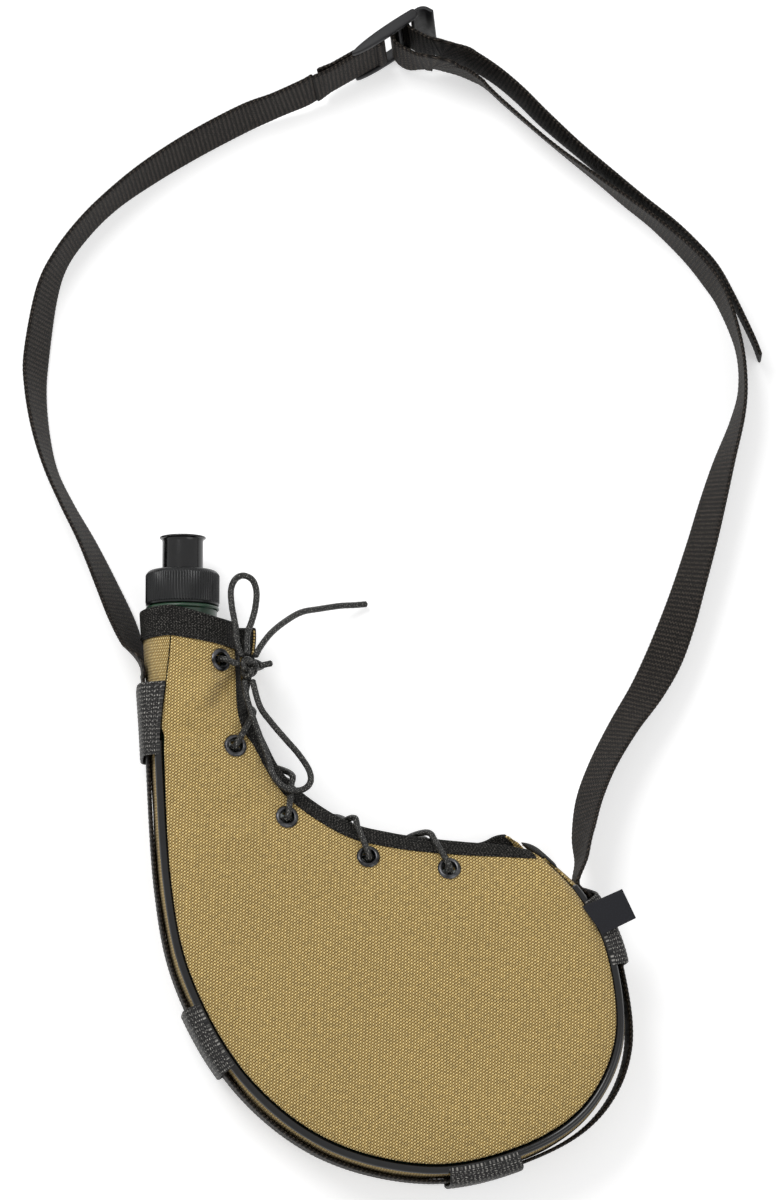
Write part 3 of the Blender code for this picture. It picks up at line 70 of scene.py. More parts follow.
MID_HEIGHT = 25.0 * MM
FRONT_CROWN, NECK_CROWN, BACK_CROWN = 25.0 * MM, 22.5 * MM, 26.8 * MM
GUSSET_WIDTH, GUSSET_BULGE, GUSSET_END_BULGE = 39.0 * MM, 4.5 * MM, 2.5 * MM
NECK_WRAP, NECK_WRAP_LENGTH, NECK_LENGTH = 9.5 * MM, 70.0 * MM, 75.0 * MM
LIP_HEIGHT, NECK_LIP_HEIGHT = 15.0 * MM, 8.0 * MM
FRONT_LIP_REACH, BACK_LIP_REACH, SEAM_REACH, NARROW_WIDTH = 36.0 * MM, 52.0 * MM, 26.0 * MM, 48.0 * MM
FABRIC, TAPE, TAPE_SETTLED = 1.0 * MM, 0.8 * MM, 0.45 * MM

# Trim, webbing, flask, cap and lace sizes, as in the CAD source
PIPING_DIAMETER, PIPING_START, PIPING_END, PIPING_RAMP = 4.0 * MM, 62.0 * MM, 538.0 * MM, 12.0 * MM
PIPING_OUT, PIPING_DOWN = 0.8 * MM, 0.6 * MM
LIP_TAPE_WIDTH, LIP_TAPE_START_WIDTH, LIP_TAPE_END_WIDTH = 7.6 * MM, 2.9 * MM, 4.5 * MM
COLLAR_TAPE_WIDTH, END_TAPE_REACH, COLLAR_SAG = 13.5 * MM, 0.93, 2.4 * MM
EYELET_COUNT, EYELET_FIRST, EYELET_PITCH = 5, 20.0 * MM, 36.8 * MM
EYELET_SETBACKS = np.array((8.8, 13.6, 13.6, 13.2, 13.2)) * MM
EYELET_FLANGE_RADIUS, EYELET_BORE_RADIUS, EYELET_WALL, EYELET_FLANGE = 5.5 * MM, 3.1 * MM, 0.6 * MM, 0.7 * MM
EYELET_CURVE_ALLOWANCES = np.array((1.2, 0.5, 0.5, 0.5, 0.5)) * MM
WEBBING_WIDTH, WEBBING, KEEPER_WEBBING = 25.0 * MM, 1.6 * MM, 1.4 * MM
KEEPER_LENGTH, KEEPER_SLACK, LOOP_OVER = 34.5 * MM, 1.2 * MM, 1.9 * MM
KEEPER_STARTS = np.array((35.0, 190.0, 344.0, 493.5)) * MM
STRAP_PROUD, STRAP_SLACK = 3.0 * MM, 2.5 * MM
STRAP_SPAN = KEEPER_STARTS[0] - STRAP_PROUD, KEEPER_STARTS[-1] + KEEPER_LENGTH + STRAP_PROUD
LABEL_CORNERS = np.array([(91.3, -23.8), (110.2, -15.2), (116.7, -28.9), (100.6, -36.9)]) * MM
LABEL_HEIGHTS, LABEL = (48.6 * MM, 46.4 * MM), 0.6 * MM
FLASK_WALL, FLASK_EASE, FLASK_CROWN, FLASK_LACED_SETBACK = 1.5 * MM, 2.3 * MM, 23.2 * MM, 13.0 * MM
FLASK_END_START, FLASK_REACH = 0.84, 0.95
NECK_X, NECK_RADIUS, FINISH_RADIUS, NECK_BORE_RADIUS = -96.4 * MM, 16.4 * MM, 14.6 * MM, 12.6 * MM
BEAD_RADIUS, NECK_FOOT_Y, BEAD_Y, BEAD_WIDTH, RIM_Y = 17.5 * MM, 111.0 * MM, 118.6 * MM, 2.2 * MM, 133.0 * MM
THREAD_PITCH, THREAD_DEPTH, THREAD_WIDTH, THREAD_TURNS = 4.0 * MM, 1.1 * MM, 1.2 * MM, 1.25
THREAD_START_Y = 123.5 * MM
CAP_BORE, CAP_OUTER, CAP_BASE, CAP_CEILING, CAP_TOP = 16.1 * MM, 17.2 * MM, 120.0 * MM, 135.1 * MM, 136.9 * MM
CAP_CHAMFER, RIB_DEPTH, RIB_COUNT = 2.4 * MM, 0.4 * MM, 80
SPOUT_RADIUS, SPOUT_WALL, SPOUT_HEIGHT, PIN_RADIUS = 7.4 * MM, 1.8 * MM, 14.8 * MM, 2.2 * MM
VALVE_BORE, VALVE_OUTER, VALVE_RIM, VALVE_TOP = 7.7 * MM, 9.7 * MM, 1.3 * MM, 1.6 * MM
LACE_DIAMETER, LACE_OVER, LACE_UNDER = 3.0 * MM, 3.1 * MM, 4.5 * MM
LACE_CROSSING = (1.9 * MM, -2.9 * MM)
KNOT_PLACE, KNOT_RADII = np.array((-65.6, 88.3, 45.0)) * MM, np.array((4.6, 6.0, 4.2)) * MM
KNOT_REACH = 10.0 * MM

# Routes of the free lace and strap, as in the CAD source
SHORT_LOOP = np.array([
    (-69.5, 94.8, 46.5), (-71.2, 100.3, 46.0), (-72.1, 109.1, 45.5), (-73.6, 118.0, 44.0), (-73.9, 125.9, 42.0),
    (-71.7, 131.2, 40.0), (-67.9, 133.0, 39.0), (-63.7, 130.9, 39.0), (-61.8, 125.3, 39.5), (-62.4, 117.4, 41.0),
    (-64.1, 110.7, 42.5), (-66.3, 103.8, 44.5), (-66.8, 96.2, 46.5)]) * MM
LONG_LOOP = np.array([
    (-67.9, 82.5, 45.5), (-66.2, 73.2, 46.0), (-63.5, 64.5, 46.8), (-60.2, 55.7, 46.0), (-57.0, 47.0, 47.0),
    (-54.4, 38.1, 48.5), (-50.6, 32.7, 49.0), (-45.1, 30.1, 48.5), (-39.7, 30.8, 47.0), (-36.4, 34.3, 45.5),
    (-36.9, 39.9, 44.0), (-41.7, 47.4, 44.0), (-48.3, 54.8, 45.0), (-54.8, 62.3, 45.5), (-60.3, 69.9, 46.8),
    (-63.2, 80.0, 46.8)]) * MM
LONG_TAIL = np.array([
    (-62.6, 93.4, 46.0), (-60.0, 98.4, 44.5), (-54.8, 105.6, 40.0), (-47.9, 112.1, 33.0), (-39.9, 117.7, 25.0),
    (-30.6, 120.6, 17.0), (-20.7, 123.1, 10.0), (-13.2, 124.2, 5.5), (-7.3, 125.1, 3.2)]) * MM
SHORT_TAIL = np.array([(-60.2, 89.2, 45.3), (-57.4, 89.9, 45.2), (-54.4, 90.6, 44.8)]) * MM
STRAP_LEFT = [
    (-119.0, 98.8, 20.0, 8.2), (-124.8, 114.2, 28.0, 3.8), (-132.5, 132.2, 25.0, 0.9), (-141.9, 152.5, 19.5, 0.3),
    (-151.6, 170.5, 15.5, 0.3), (-159.5, 187.5, 14.0, 0.3), (-164.5, 205.9, 18.0, 0.3), (-167.1, 225.1, 22.5, 0.2),
    (-166.9, 242.0, 26.0, 0.2), (-162.3, 272.3, 21.5, 0.2), (-155.5, 290.1, 14.0, 0.3), (-144.0, 306.2, 12.0, 0.3),
    (-130.5, 319.9, 12.0, 0.3), (-113.8, 333.0, 16.0, 0.3), (-92.1, 347.2, 18.5, 0.2), (-67.8, 360.6, 18.5, 0.6),
    (-52.5, 367.0, 15.0, 2.0)]
STRAP_RIGHT = [
    (93.5, 0.8, -6.5, 11.1), (94.7, 13.9, -17.0, 9.0), (98.1, 30.5, -23.0, 6.4), (104.6, 46.8, -25.0, 4.4),
    (114.7, 64.9, -29.0, 2.3), (126.4, 82.7, -36.0, 0.7), (134.6, 98.3, -40.0, 0.1), (141.4, 115.7, -37.0, 0.1),
    (146.8, 132.3, -32.0, 0.1), (153.6, 154.9, -27.5, 0.2), (159.0, 174.8, -23.5, 0.2), (164.6, 194.6, -17.0, 0.3),
    (171.3, 215.9, -7.5, 0.4), (174.0, 232.7, 0.0, 0.5), (172.3, 251.8, 2.0, 0.5), (165.2, 272.9, -3.5, 0.5),
    (158.0, 285.0, -6.0, 0.4), (147.5, 297.4, -3.5, 0.5), (132.0, 311.5, 1.5, 0.5), (117.7, 322.5, 4.0, 0.5),
    (105.1, 332.3, 8.0, 0.4), (81.9, 350.3, 12.0, 0.3), (59.5, 369.6, 11.5, 0.3), (50.7, 377.7, 11.0, 0.6),
    (45.3, 381.4, 8.0, 1.5), (38.3, 384.6, 6.0, 3.0), (31.0, 386.2, 6.0, 5.5)]
STRAP_TAIL = [
    (40.5, 391.6, 4.5, 3.6), (54.1, 384.2, 3.0, 1.2), (66.0, 374.6, 2.5, 0.5), (78.1, 362.6, 2.0, 0.5),
    (94.7, 347.7, -1.0, 0.5), (114.7, 331.0, -2.0, 0.5), (125.6, 322.2, -3.0, 0.5), (140.3, 310.8, -4.0, 0.5),
    (152.0, 300.4, -6.5, 0.5), (161.7, 289.5, -7.5, 0.4), (169.0, 276.0, -6.5, 0.5), (178.8, 255.5, -7.0, 0.5),
    (182.7, 245.3, -6.5, 0.5)]
BUCKLE_PLACE, BUCKLE_ANGLE = np.array((-9.3, 385.4)) * MM, math.radians(35)
BUCKLE_LEAN, BUCKLE_RISE = math.radians(12), 0.7 * MM
BUCKLE_ENDS, BUCKLE_RAIL, BUCKLE_THICKNESS = (-4.0 * MM, 34.0 * MM), 3.0 * MM, 5.6 * MM
BUCKLE_BAR, BUCKLE_SIDE_CLEARANCE = 2.4 * MM, 0.8 * MM
BUCKLE_BARS = np.array([(11.0, 0.0), (23.5, 0.6), (31.5, 0.0)]) * MM
BUCKLE_LIP = np.array([(32.0, 0.4), (35.5, 0.6), (38.3, -0.9), (40.0, -4.2)]) * MM
BUCKLE_LIP_THICKNESS = 1.7 * MM
SEWN_LEG, SEWN_SPREAD, SEWN_TURN = 37.0 * MM, 0.97 * MM, math.radians(4.5)
THREADED_ROUTE = np.array([
    (24.5, -17.5), (20.3, -13.0), (17.9, -8.8), (17.3, -4.5), (18.7, -0.2), (20.9, 2.4), (23.6, 3.2),
    (26.0, 2.0), (27.1, -0.8), (27.4, -4.2), (29.4, -8.8), (33.6, -14.2)]) * MM

# Webbing in the buckle: height of its middle up the bars, and how far a free end reaches inside
WEB_HEIGHT = GAP + BUCKLE_RAIL + BUCKLE_SIDE_CLEARANCE + WEBBING_WIDTH / 2
WEB_TUCK, WEB_TURN = 0.7 * MM, 9.0 * MM
SEWN_EASE, IN_EASE, OUT_EASE = -0.4, 1.0, 0.7

# Weave of the cover, at 35 degrees to the plan. Real yarns are 0.77 and 1.03 mm apart; these are drawn a little
# coarser so that they show. The webbing's ribs have five rings of points each.
WEAVE_ANGLE, WEAVE_PITCH = math.radians(35), (0.88 * MM, 1.18 * MM)
RIB_PITCH, RIB_RISE, EDGE_RISE, WEB_STEP = 2.2 * MM, 0.12 * MM, 0.28 * MM, 0.44 * MM
STITCH_LENGTH, STITCH_GAP, STITCH_THICK, LACE_STEP = 2.6 * MM, 0.5 * MM, 0.5 * MM, 0.6 * MM
BASKET_FLOAT, BASKET_COLUMN, BASKET_SLANT, BASKET_RISE = 2.0 * MM, 1.0 * MM, 0.45, 0.28 * MM

# Creases of the front cloth: start and end in plan, depth, width, and whether a rise runs beside a fall
CREASES = [
    ((-74.0, 88.0), (-88.0, 66.0), 2.6, 4.0, True), ((-76.0, 55.0), (-101.0, 58.5), -2.2, 4.5, False),
    ((-76.0, 66.0), (-98.0, 76.0), 1.4, 6.0, False), ((-56.0, 17.0), (-82.0, 12.0), -1.5, 6.0, True),
    ((-14.0, -10.0), (-20.0, -28.0), -0.8, 6.0, False), ((34.0, -12.0), (40.0, -30.0), -0.8, 6.0, False)]
CREASE_CLEAR = 6.2 * MM

# Light: the floor's lift to white, the world's strength on surfaces, and each lamp's place, aim, size and watts
FLOOR_LIFT, WORLD_LIGHT = 0.42, 0.55
LAMPS = [("key_light", (-0.9, 1.1, 1.7), (0.0, 0.1, 0.0), 1.1, 24.0),
         ("fill_light", (1.2, -0.7, 1.6), (0.0, 0.1, 0.0), 1.4, 8.0)]


# ---------------------------------------------------------------- small sums

def unit(vectors):
    """Vectors divided by their lengths."""
    return vectors / np.linalg.norm(vectors, axis=-1, keepdims=True)


def smoothstep(x):
    """A smooth step from 0 to 1: 3 x^2 - 2 x^3, held outside."""
    x = np.clip(x, 0.0, 1.0)
    return x * x * (3.0 - 2.0 * x)


def smooth_curve(points, at):
    """Points of a cubic curve through the given points; at runs from 0 to the last point's number."""
    points, at = np.asarray(points, float), np.atleast_1d(np.asarray(at, float))
    slopes = np.gradient(points, axis=0)
    i = np.clip(np.floor(at).astype(int), 0, len(points) - 2)
    f = (at - i)[:, None]
    return ((2 * f**3 - 3 * f**2 + 1) * points[i] + (f**3 - 2 * f**2 + f) * slopes[i]
            + (3 * f**2 - 2 * f**3) * points[i + 1] + (f**3 - f**2) * slopes[i + 1])


def run_along(points):
    """Distance of each point from the first, along the row of points."""
    return np.r_[0.0, np.cumsum(np.linalg.norm(np.diff(points, axis=0), axis=1))]


def even_points(points, spacing):
    """Points at an even spacing on the smooth curve through the given points, measured over x, y and z."""
    fine = smooth_curve(points, np.linspace(0, len(points) - 1, 40 * len(points)))
    run = run_along(fine[:, :3])
    at = np.linspace(0.0, run[-1], max(2, int(round(run[-1] / spacing)) + 1))
    return np.stack([np.interp(at, run, column) for column in fine.T], axis=1)


def full_turn(count):
    """Evenly spaced angles of one turn."""
    return np.linspace(0.0, 2 * math.pi, count, endpoint=False)


def pairs(along, across):
    """Values along a grid's rows and across its columns, paired up at each of its points."""
    return np.stack(np.broadcast_arrays(along, across), axis=-1)


def raised(plan, height):
    """Plan places with their heights."""
    return np.concatenate([plan, height[..., None]], axis=-1)


def noise(points, size, seed):
    """Smooth noise between -1 and 1: a sum of sine waves of about one wavelength in random directions."""
    rng = np.random.default_rng(SEED + seed)
    total = np.zeros(points.shape[:-1])
    for _ in range(9):
        wave = rng.normal(size=points.shape[-1])
        wave *= 2 * math.pi / size * rng.uniform(0.6, 1.5) / np.linalg.norm(wave)
        total += np.sin(points @ wave + rng.uniform(0, 2 * math.pi))
    return total / 4.5


# ---------------------------------------------------------------- meshes

def surface(name, grid, finish, uv=None, around=False, loop=False, ends=False, keep=None, outwards=None):
    """A mesh from a grid of points, rows along and columns across.

    around joins the last column to the first, loop the last row to the first, ends fills the first and last
    row. keep picks the quads that stay. A closed body is turned to face out by its volume, an open sheet by
    comparing its faces with the outwards direction. The UV map is in metres.
    """
    rows, cols = grid.shape[:2]
    r, c = np.meshgrid(np.arange(rows if loop else rows - 1), np.arange(cols if around else cols - 1),
                       indexing="ij")
    r, c = (r.ravel(), c.ravel()) if keep is None else (r[keep], c[keep])
    corner_rows = np.stack([r, r, r + 1, r + 1], axis=1)
    corner_cols = np.stack([c, c + 1, c + 1, c], axis=1)
    corners = (corner_rows % rows) * cols + corner_cols % cols
    if uv is None:
        wide = np.concatenate([grid, grid[:, :1]], axis=1) if around else grid
        tall = np.concatenate([wide, wide[:1]], axis=0) if loop else wide
        uv = pairs(run_along(tall[:, cols // 2])[:, None], run_along(tall[rows // 2])[None, :])
    spots = uv[corner_rows, corner_cols].reshape(-1, 2)
    points = grid.reshape(-1, 3)
    loops, starts, count = corners.ravel(), np.arange(len(corners)) * 4, 4 * len(corners)
    if ends:
        for ring, row in ((np.arange(cols)[::-1], 0), (np.arange(cols), rows - 1)):
            loops, starts = np.r_[loops, row * cols + ring], np.r_[starts, count]
            spots, count = np.concatenate([spots, uv[row, ring]]), count + cols
    a, b, d = points[corners[:, 0]], points[corners[:, 1]], points[corners[:, 2]]
    faces_out = np.cross(b - a, d - a)
    facing = np.sum(a * faces_out) if outwards is None else np.sum(faces_out @ np.asarray(outwards, float))
    mesh = bpy.data.meshes.new(name)
    mesh.vertices.add(len(points))
    mesh.vertices.foreach_set("co", points.astype(np.float32).ravel())
    mesh.loops.add(len(loops))
    mesh.loops.foreach_set("vertex_index", loops.astype(np.int32))
    mesh.polygons.add(len(starts))
    mesh.polygons.foreach_set("loop_start", starts.astype(np.int32))
    mesh.update(calc_edges=True)
    layer = mesh.uv_layers.new(name="UVMap")
    layer.data.foreach_set("uv", spots.astype(np.float32).ravel())
    if facing < 0:
        mesh.flip_normals()
    return piece(name, mesh, finish)


def piece(name, mesh, finish):
    """An object for a finished mesh, smooth up to a sharp edge's angle, without loose points."""
    mesh.validate()
    mesh.shade_smooth()
    mesh.set_sharp_from_angle(angle=SHARP_ANGLE)
    mesh.materials.append(finish)
    obj = bpy.data.objects.new(name, mesh)
    bpy.context.scene.collection.objects.link(obj)
    return obj


def dressed(made, node):
    """A piece in the place of a CAD node, whose part is hidden."""
    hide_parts(node)
    return made


def joined(name, objs):
    """Several closed meshes as the one mesh of a new piece."""
    keep = objs[0]
    with bpy.context.temp_override(active_object=keep, selected_editable_objects=objs, selected_objects=objs,
                                   object=keep):
        bpy.ops.object.join()
    keep.name = keep.data.name = name
    return keep


def frames(path):
    """Directions to the side and upwards at each point of a path, turned as little as possible on the way.

    Each side is the one before it, less its share along the path's new direction.
    """
    along = unit(np.gradient(path, axis=0))
    side = np.cross(along[0], (0.0, 0.0, 1.0))
    side = unit(side) if np.linalg.norm(side) > 0.05 else unit(np.cross(along[0], (1.0, 0.0, 0.0)))
    sides = [side]
    for direction in along[1:]:
        side = side - direction * (side @ direction)
        side = side / np.linalg.norm(side)
        sides.append(side)
    sides = np.array(sides)
    return sides, np.cross(sides, along)


def tube(name, path, radius, sides, finish, relief=None, taper=0.0, tip=0.0):
    """A round tube: each ring is the path's point plus radius times a circle in the frame there.

    relief(along, angle) multiplies the radius; the last taper metres at each end shrink to a tip share.
    """
    side, up = frames(path)
    run = run_along(path)
    angle = full_turn(sides)
    size = np.full((len(path), sides), radius)
    if taper:
        near = np.clip(np.minimum(run, run[-1] - run) / taper, 0.0, 1.0)
        size *= np.maximum(tip, np.sqrt(1.0 - (1.0 - near) ** 2))[:, None]
    if relief:
        size *= relief(run[:, None], angle[None, :])
    circle = np.cos(angle)[None, :, None] * side[:, None] + np.sin(angle)[None, :, None] * up[:, None]
    grid = path[:, None] + circle * size[:, :, None]
    uv = pairs(run[:, None], np.linspace(0, 2 * math.pi * radius, sides + 1)[None])
    return surface(name, grid, finish, uv=uv, around=True, ends=True)


def turned(name, profile, finish, sides, centre=(NECK_X, 0.0, MID_HEIGHT), axis=(0.0, 1.0, 0.0)):
    """A closed profile turned about an axis: centre + radius * (cos, sin) round it + height along it."""
    axis = unit(np.asarray(axis, float))
    level = np.cross((0.0, 0.0, 1.0), axis)
    level = unit(level) if np.linalg.norm(level) > 0.05 else np.array((1.0, 0.0, 0.0))
    other = np.cross(axis, level)
    angle = full_turn(sides)
    radial = np.cos(angle)[:, None] * level + np.sin(angle)[:, None] * other
    grid = np.asarray(centre) + radial[:, None] * profile[None, :, :1] + axis * profile[None, :, 1:]
    across = run_along(np.concatenate([profile, profile[:1]]))
    uv = pairs(np.linspace(0, 2 * math.pi, sides + 1)[:, None] * profile[:, 0].max(), across[None, :])
    return surface(name, grid, finish, uv=uv, loop=True, around=True)


def rounded(profile, radius, steps):
    """A closed profile with each corner cut to an arc: a quadratic curve between points either side of it."""
    profile = np.asarray(profile, float)
    before, after = np.roll(profile, 1, axis=0), np.roll(profile, -1, axis=0)
    made = []
    for p, a, b in zip(profile, before, after):
        cut = min(radius, 0.42 * np.linalg.norm(a[:2] - p[:2]), 0.42 * np.linalg.norm(b[:2] - p[:2]))
        start = p + (a - p) * cut / np.linalg.norm(a[:2] - p[:2])
        end = p + (b - p) * cut / np.linalg.norm(b[:2] - p[:2])
        t = np.linspace(0, 1, steps)[:, None]
        made.append((1 - t) ** 2 * start + 2 * t * (1 - t) * p + t**2 * end)
    return np.concatenate(made)


# ---------------------------------------------------------------- materials

MATH = "ShaderNodeMath"


def srgb(code):
    """A colour written as sRGB hex, as linear red, green, blue and alpha."""
    c = np.array([int(code[i:i + 2], 16) for i in (0, 2, 4)]) / 255.0
    linear = np.where(c <= 0.04045, c / 12.92, ((c + 0.055) / 1.055) ** 2.4)
    return (*map(float, linear), 1.0)


def fill(node, sockets):
    """Sets a node's sockets; each takes a value, another node's first output or any output."""
    for socket, value in sockets.items():
        if isinstance(value, bpy.types.Node):
            value = value.outputs[0]
        if isinstance(value, bpy.types.NodeSocket):
            node.id_data.links.new(value, node.inputs[socket])
        else:
            node.inputs[socket].default_value = value


def add(tree, kind, sockets=None, stops=(), **settings):
    """Adds a node with its settings and sockets; stops are the (place, sRGB hex) points of a colour ramp."""
    made = tree.nodes.new(kind)
    for key, value in settings.items():
        setattr(made, key, value)
    for number, (place, code) in enumerate(stops):
        points = made.color_ramp.elements
        point = points[number] if number < 2 else points.new(place)
        point.position, point.color = place, srgb(code)
    fill(made, sockets or {})
    return made


def finish_named(name, **sockets):
    """A material with its Principled shader's own sockets set; returns it with its tree and shader."""
    made = bpy.data.materials.new(name)
    made.use_nodes = True
    tree = made.node_tree
    shader = tree.nodes["Principled BSDF"]
    fill(shader, {socket.replace("_", " "): value for socket, value in sockets.items()})
    return made, tree, shader


def woven_cloth():
    """Coarse polyester canvas, plain woven from flat filament yarn: a checker of floats with a painted highlight on
    each top and painted shade in the gaps.

    Each cell's height is a dome across the upper yarn and half a dome along it: |cos| across * (0.45 |cos| along
    + 0.55). The lighter yarn is up in one half of the cells. Yarns are drawn a little coarser than real ones, so
    that they show.
    """
    made, tree, shader = finish_named("coarse_woven_polyester", Roughness=0.82, Sheen_Weight=0.12,
                                      Sheen_Roughness=0.5, IOR=1.5)
    uv = add(tree, "ShaderNodeUVMap")
    sway = add(tree, "ShaderNodeTexNoise", {"Vector": uv, "Scale": 60.0, "Detail": 1.0})
    swayed = add(tree, "ShaderNodeMix", {"Factor": 0.0007, 6: uv, 7: sway.outputs["Color"]}, data_type="RGBA")
    turned_uv = add(tree, "ShaderNodeMapping", {"Vector": swayed.outputs[2],
                    "Rotation": (0.0, 0.0, -WEAVE_ANGLE)})
    scaled = add(tree, "ShaderNodeVectorMath", {0: turned_uv,
                 1: (1 / WEAVE_PITCH[0], 1 / WEAVE_PITCH[1], 0.0)}, operation="MULTIPLY")
    parts = add(tree, "ShaderNodeSeparateXYZ", {0: scaled})
    waves = []
    for axis in (0, 1):
        phase = add(tree, MATH, {0: parts.outputs[axis], 1: 0.5}, operation="SUBTRACT")
        angle = add(tree, MATH, {0: phase, 1: math.pi}, operation="MULTIPLY")
        cosine = add(tree, MATH, {0: angle}, operation="COSINE")
        waves.append((add(tree, MATH, {0: cosine}, operation="ABSOLUTE"),
                      add(tree, MATH, {0: parts.outputs[axis]}, operation="FLOOR")))
    cells = add(tree, MATH, {0: waves[0][1], 1: waves[1][1]}, operation="ADD")
    upper = add(tree, MATH, {0: cells, 1: 2.0}, operation="FLOORED_MODULO")
    domes = [add(tree, MATH, {0: across[0], 1: add(tree, MATH, {0: along[0], 1: 0.45, 2: 0.55},
                 operation="MULTIPLY_ADD")}, operation="MULTIPLY")
             for across, along in ((waves[1], waves[0]), (waves[0], waves[1]))]
    height = add(tree, "ShaderNodeMix", {"Factor": upper, 2: domes[0], 3: domes[1]}, data_type="FLOAT")
    # Each yarn's colour follows its dome height: painted shade in the gaps between yarns, painted highlight on
    # their tops.
    light = add(tree, "ShaderNodeValToRGB", {"Fac": domes[0]},
                stops=[(0.2, "45340F"), (0.9, "F3DC9A"), (0.5, "B79855")])
    dark = add(tree, "ShaderNodeValToRGB", {"Fac": domes[1]},
               stops=[(0.2, "3A2B0C"), (0.9, "C3A35E"), (0.55, "95773A")])
    yarn = add(tree, "ShaderNodeMix", {"Factor": upper, 6: light, 7: dark}, data_type="RGBA")
    patch = add(tree, "ShaderNodeTexNoise", {"Vector": uv, "Scale": 420.0, "Detail": 2.0})
    slub = add(tree, "ShaderNodeMapRange", {"Value": patch, "From Min": 0.3, "From Max": 0.7,
               "To Min": 0.82, "To Max": 1.16})
    cloud = add(tree, "ShaderNodeTexNoise", {"Vector": uv, "Scale": 22.0, "Detail": 3.0})
    worn = add(tree, "ShaderNodeMapRange", {"Value": cloud, "From Min": 0.3, "From Max": 0.7,
               "To Min": 0.96, "To Max": 1.04})
    both = add(tree, MATH, {0: slub, 1: worn}, operation="MULTIPLY")
    tone = add(tree, "ShaderNodeVectorMath", {0: yarn.outputs[2], "Scale": both}, operation="SCALE")
    bump = add(tree, "ShaderNodeBump", {"Height": height, "Strength": 0.8, "Distance": 0.35 * MM})
    fill(shader, {"Base Color": tone, "Normal": bump})
    return made


def black_weave(name, pitch_along, pitch_across, slant, dark, painted_highlight, fleck, depth, shine=0.6, rough=0.6):
    """Black woven tape or webbing on a UV map in metres: columns of slanted floats, each with a painted highlight
    stroke.

    Columns lie pitch_across apart and every second one is half a float further on; slant leans the strokes left and
    right in turn. dark is the yarn's own colour. fleck is how often a yarn's filaments catch the light, where the
    float's top is painted in the pale highlight colour.
    """
    made, tree, shader = finish_named(name, Roughness=rough, IOR=1.5, Specular_IOR_Level=shine)
    uv = add(tree, "ShaderNodeUVMap")
    parts = add(tree, "ShaderNodeSeparateXYZ", {0: uv})
    column = add(tree, MATH, {0: parts.outputs[1], 1: pitch_across}, operation="DIVIDE")
    number = add(tree, MATH, {0: column}, operation="FLOOR")
    odd = add(tree, MATH, {0: number, 1: 2.0}, operation="FLOORED_MODULO")
    inside = add(tree, MATH, {0: column, 1: number}, operation="SUBTRACT")
    lean = add(tree, MATH, {0: odd, 1: 2.0 * slant, 2: -slant}, operation="MULTIPLY_ADD")
    shifted = add(tree, MATH, {0: inside, 1: lean}, operation="MULTIPLY")
    start = add(tree, MATH, {0: odd, 1: 0.5, 2: shifted}, operation="MULTIPLY_ADD")
    along = add(tree, MATH, {0: parts.outputs[0], 1: 1.0 / pitch_along, 2: start}, operation="MULTIPLY_ADD")
    turn = add(tree, MATH, {0: along, 1: math.pi}, operation="MULTIPLY")
    sine = add(tree, MATH, {0: add(tree, MATH, {0: turn}, operation="SINE")}, operation="ABSOLUTE")
    half = add(tree, MATH, {0: inside, 1: math.pi}, operation="MULTIPLY")
    round_off = add(tree, MATH, {0: add(tree, MATH, {0: half}, operation="SINE"), 1: 0.6}, operation="POWER")
    height = add(tree, MATH, {0: sine, 1: round_off}, operation="MULTIPLY")
    # Painted highlight: a pale colour on the tops of the floats, in specks where the filaments catch the light.
    speck = add(tree, "ShaderNodeTexNoise", {"Vector": uv, "Scale": 1400.0, "Detail": 1.0})
    lit = add(tree, "ShaderNodeMapRange", {"Value": speck, "From Min": 0.62 - fleck, "From Max": 0.8 - fleck})
    raised = add(tree, MATH, {0: height, 1: 3.0}, operation="POWER")
    both = add(tree, MATH, {0: raised, 1: lit}, operation="MULTIPLY")
    colour = add(tree, "ShaderNodeMix", {"Factor": both, 6: srgb(dark), 7: srgb(painted_highlight)}, data_type="RGBA")
    bump = add(tree, "ShaderNodeBump", {"Height": height, "Strength": 0.7, "Distance": depth})
    fill(shader, {"Base Color": colour.outputs[2], "Normal": bump})
    return made


def moulded(name, code, rough, grain=0.0, size=0.4 * MM, metallic=0.0, other=None, **sockets):
    """A moulded, dipped or plated finish on Object coordinates: one colour with slight mottle, and grain.

    grain is the height of the surface texture; size is its width.
    """
    made, tree, shader = finish_named(name, Metallic=metallic, **sockets)
    place = add(tree, "ShaderNodeTexCoord").outputs["Object"]
    cloud = add(tree, "ShaderNodeTexNoise", {"Vector": place, "Scale": 0.12 / size, "Detail": 3.0})
    colour = add(tree, "ShaderNodeValToRGB", {"Fac": cloud}, stops=[(0.35, code), (0.65, other or code)])
    scuff = add(tree, "ShaderNodeMapRange", {"Value": cloud, "From Min": 0.3, "From Max": 0.7,
                "To Min": rough * 0.85, "To Max": rough * 1.2})
    fill(shader, {"Base Color": colour, "Roughness": scuff})
    if grain:
        fine = add(tree, "ShaderNodeTexNoise", {"Vector": place, "Scale": 1.0 / size, "Detail": 2.0})
        fill(shader, {"Normal": add(tree, "ShaderNodeBump", {"Height": fine, "Strength": 0.4, "Distance": grain})})
    return made


# Coarse polyester canvas, plain woven: a tan checker of floats, with painted highlights on their tops and painted
# shade in the gaps, matt
CLOTH = woven_cloth()
# Twill tape, woven polyester: dull black with short slanted flecks of painted highlight
BINDING = black_weave("black_twill_tape", 1.5 * MM, 0.8 * MM, 0.7, "080807", "74716C", 0.18, 0.25 * MM, shine=0.1)
# Ribbed polypropylene webbing: brownish black, with a faint painted highlight speckle of filaments along each rib
WEBBING_FINISH = black_weave("ribbed_polypropylene_webbing", RIB_PITCH, 1.1 * MM, 0.35, "060504", "5E554D", 0.24,
                             0.25 * MM, shine=0.12)
# Basket-woven webbing of the loops: greyer for its painted highlight strokes where its filaments catch the light
BASKET = black_weave("basket_woven_webbing", BASKET_FLOAT, BASKET_COLUMN, BASKET_SLANT, "0A0909", "B4B1AB", 0.17,
                     0.3 * MM, shine=0.25, rough=0.5)
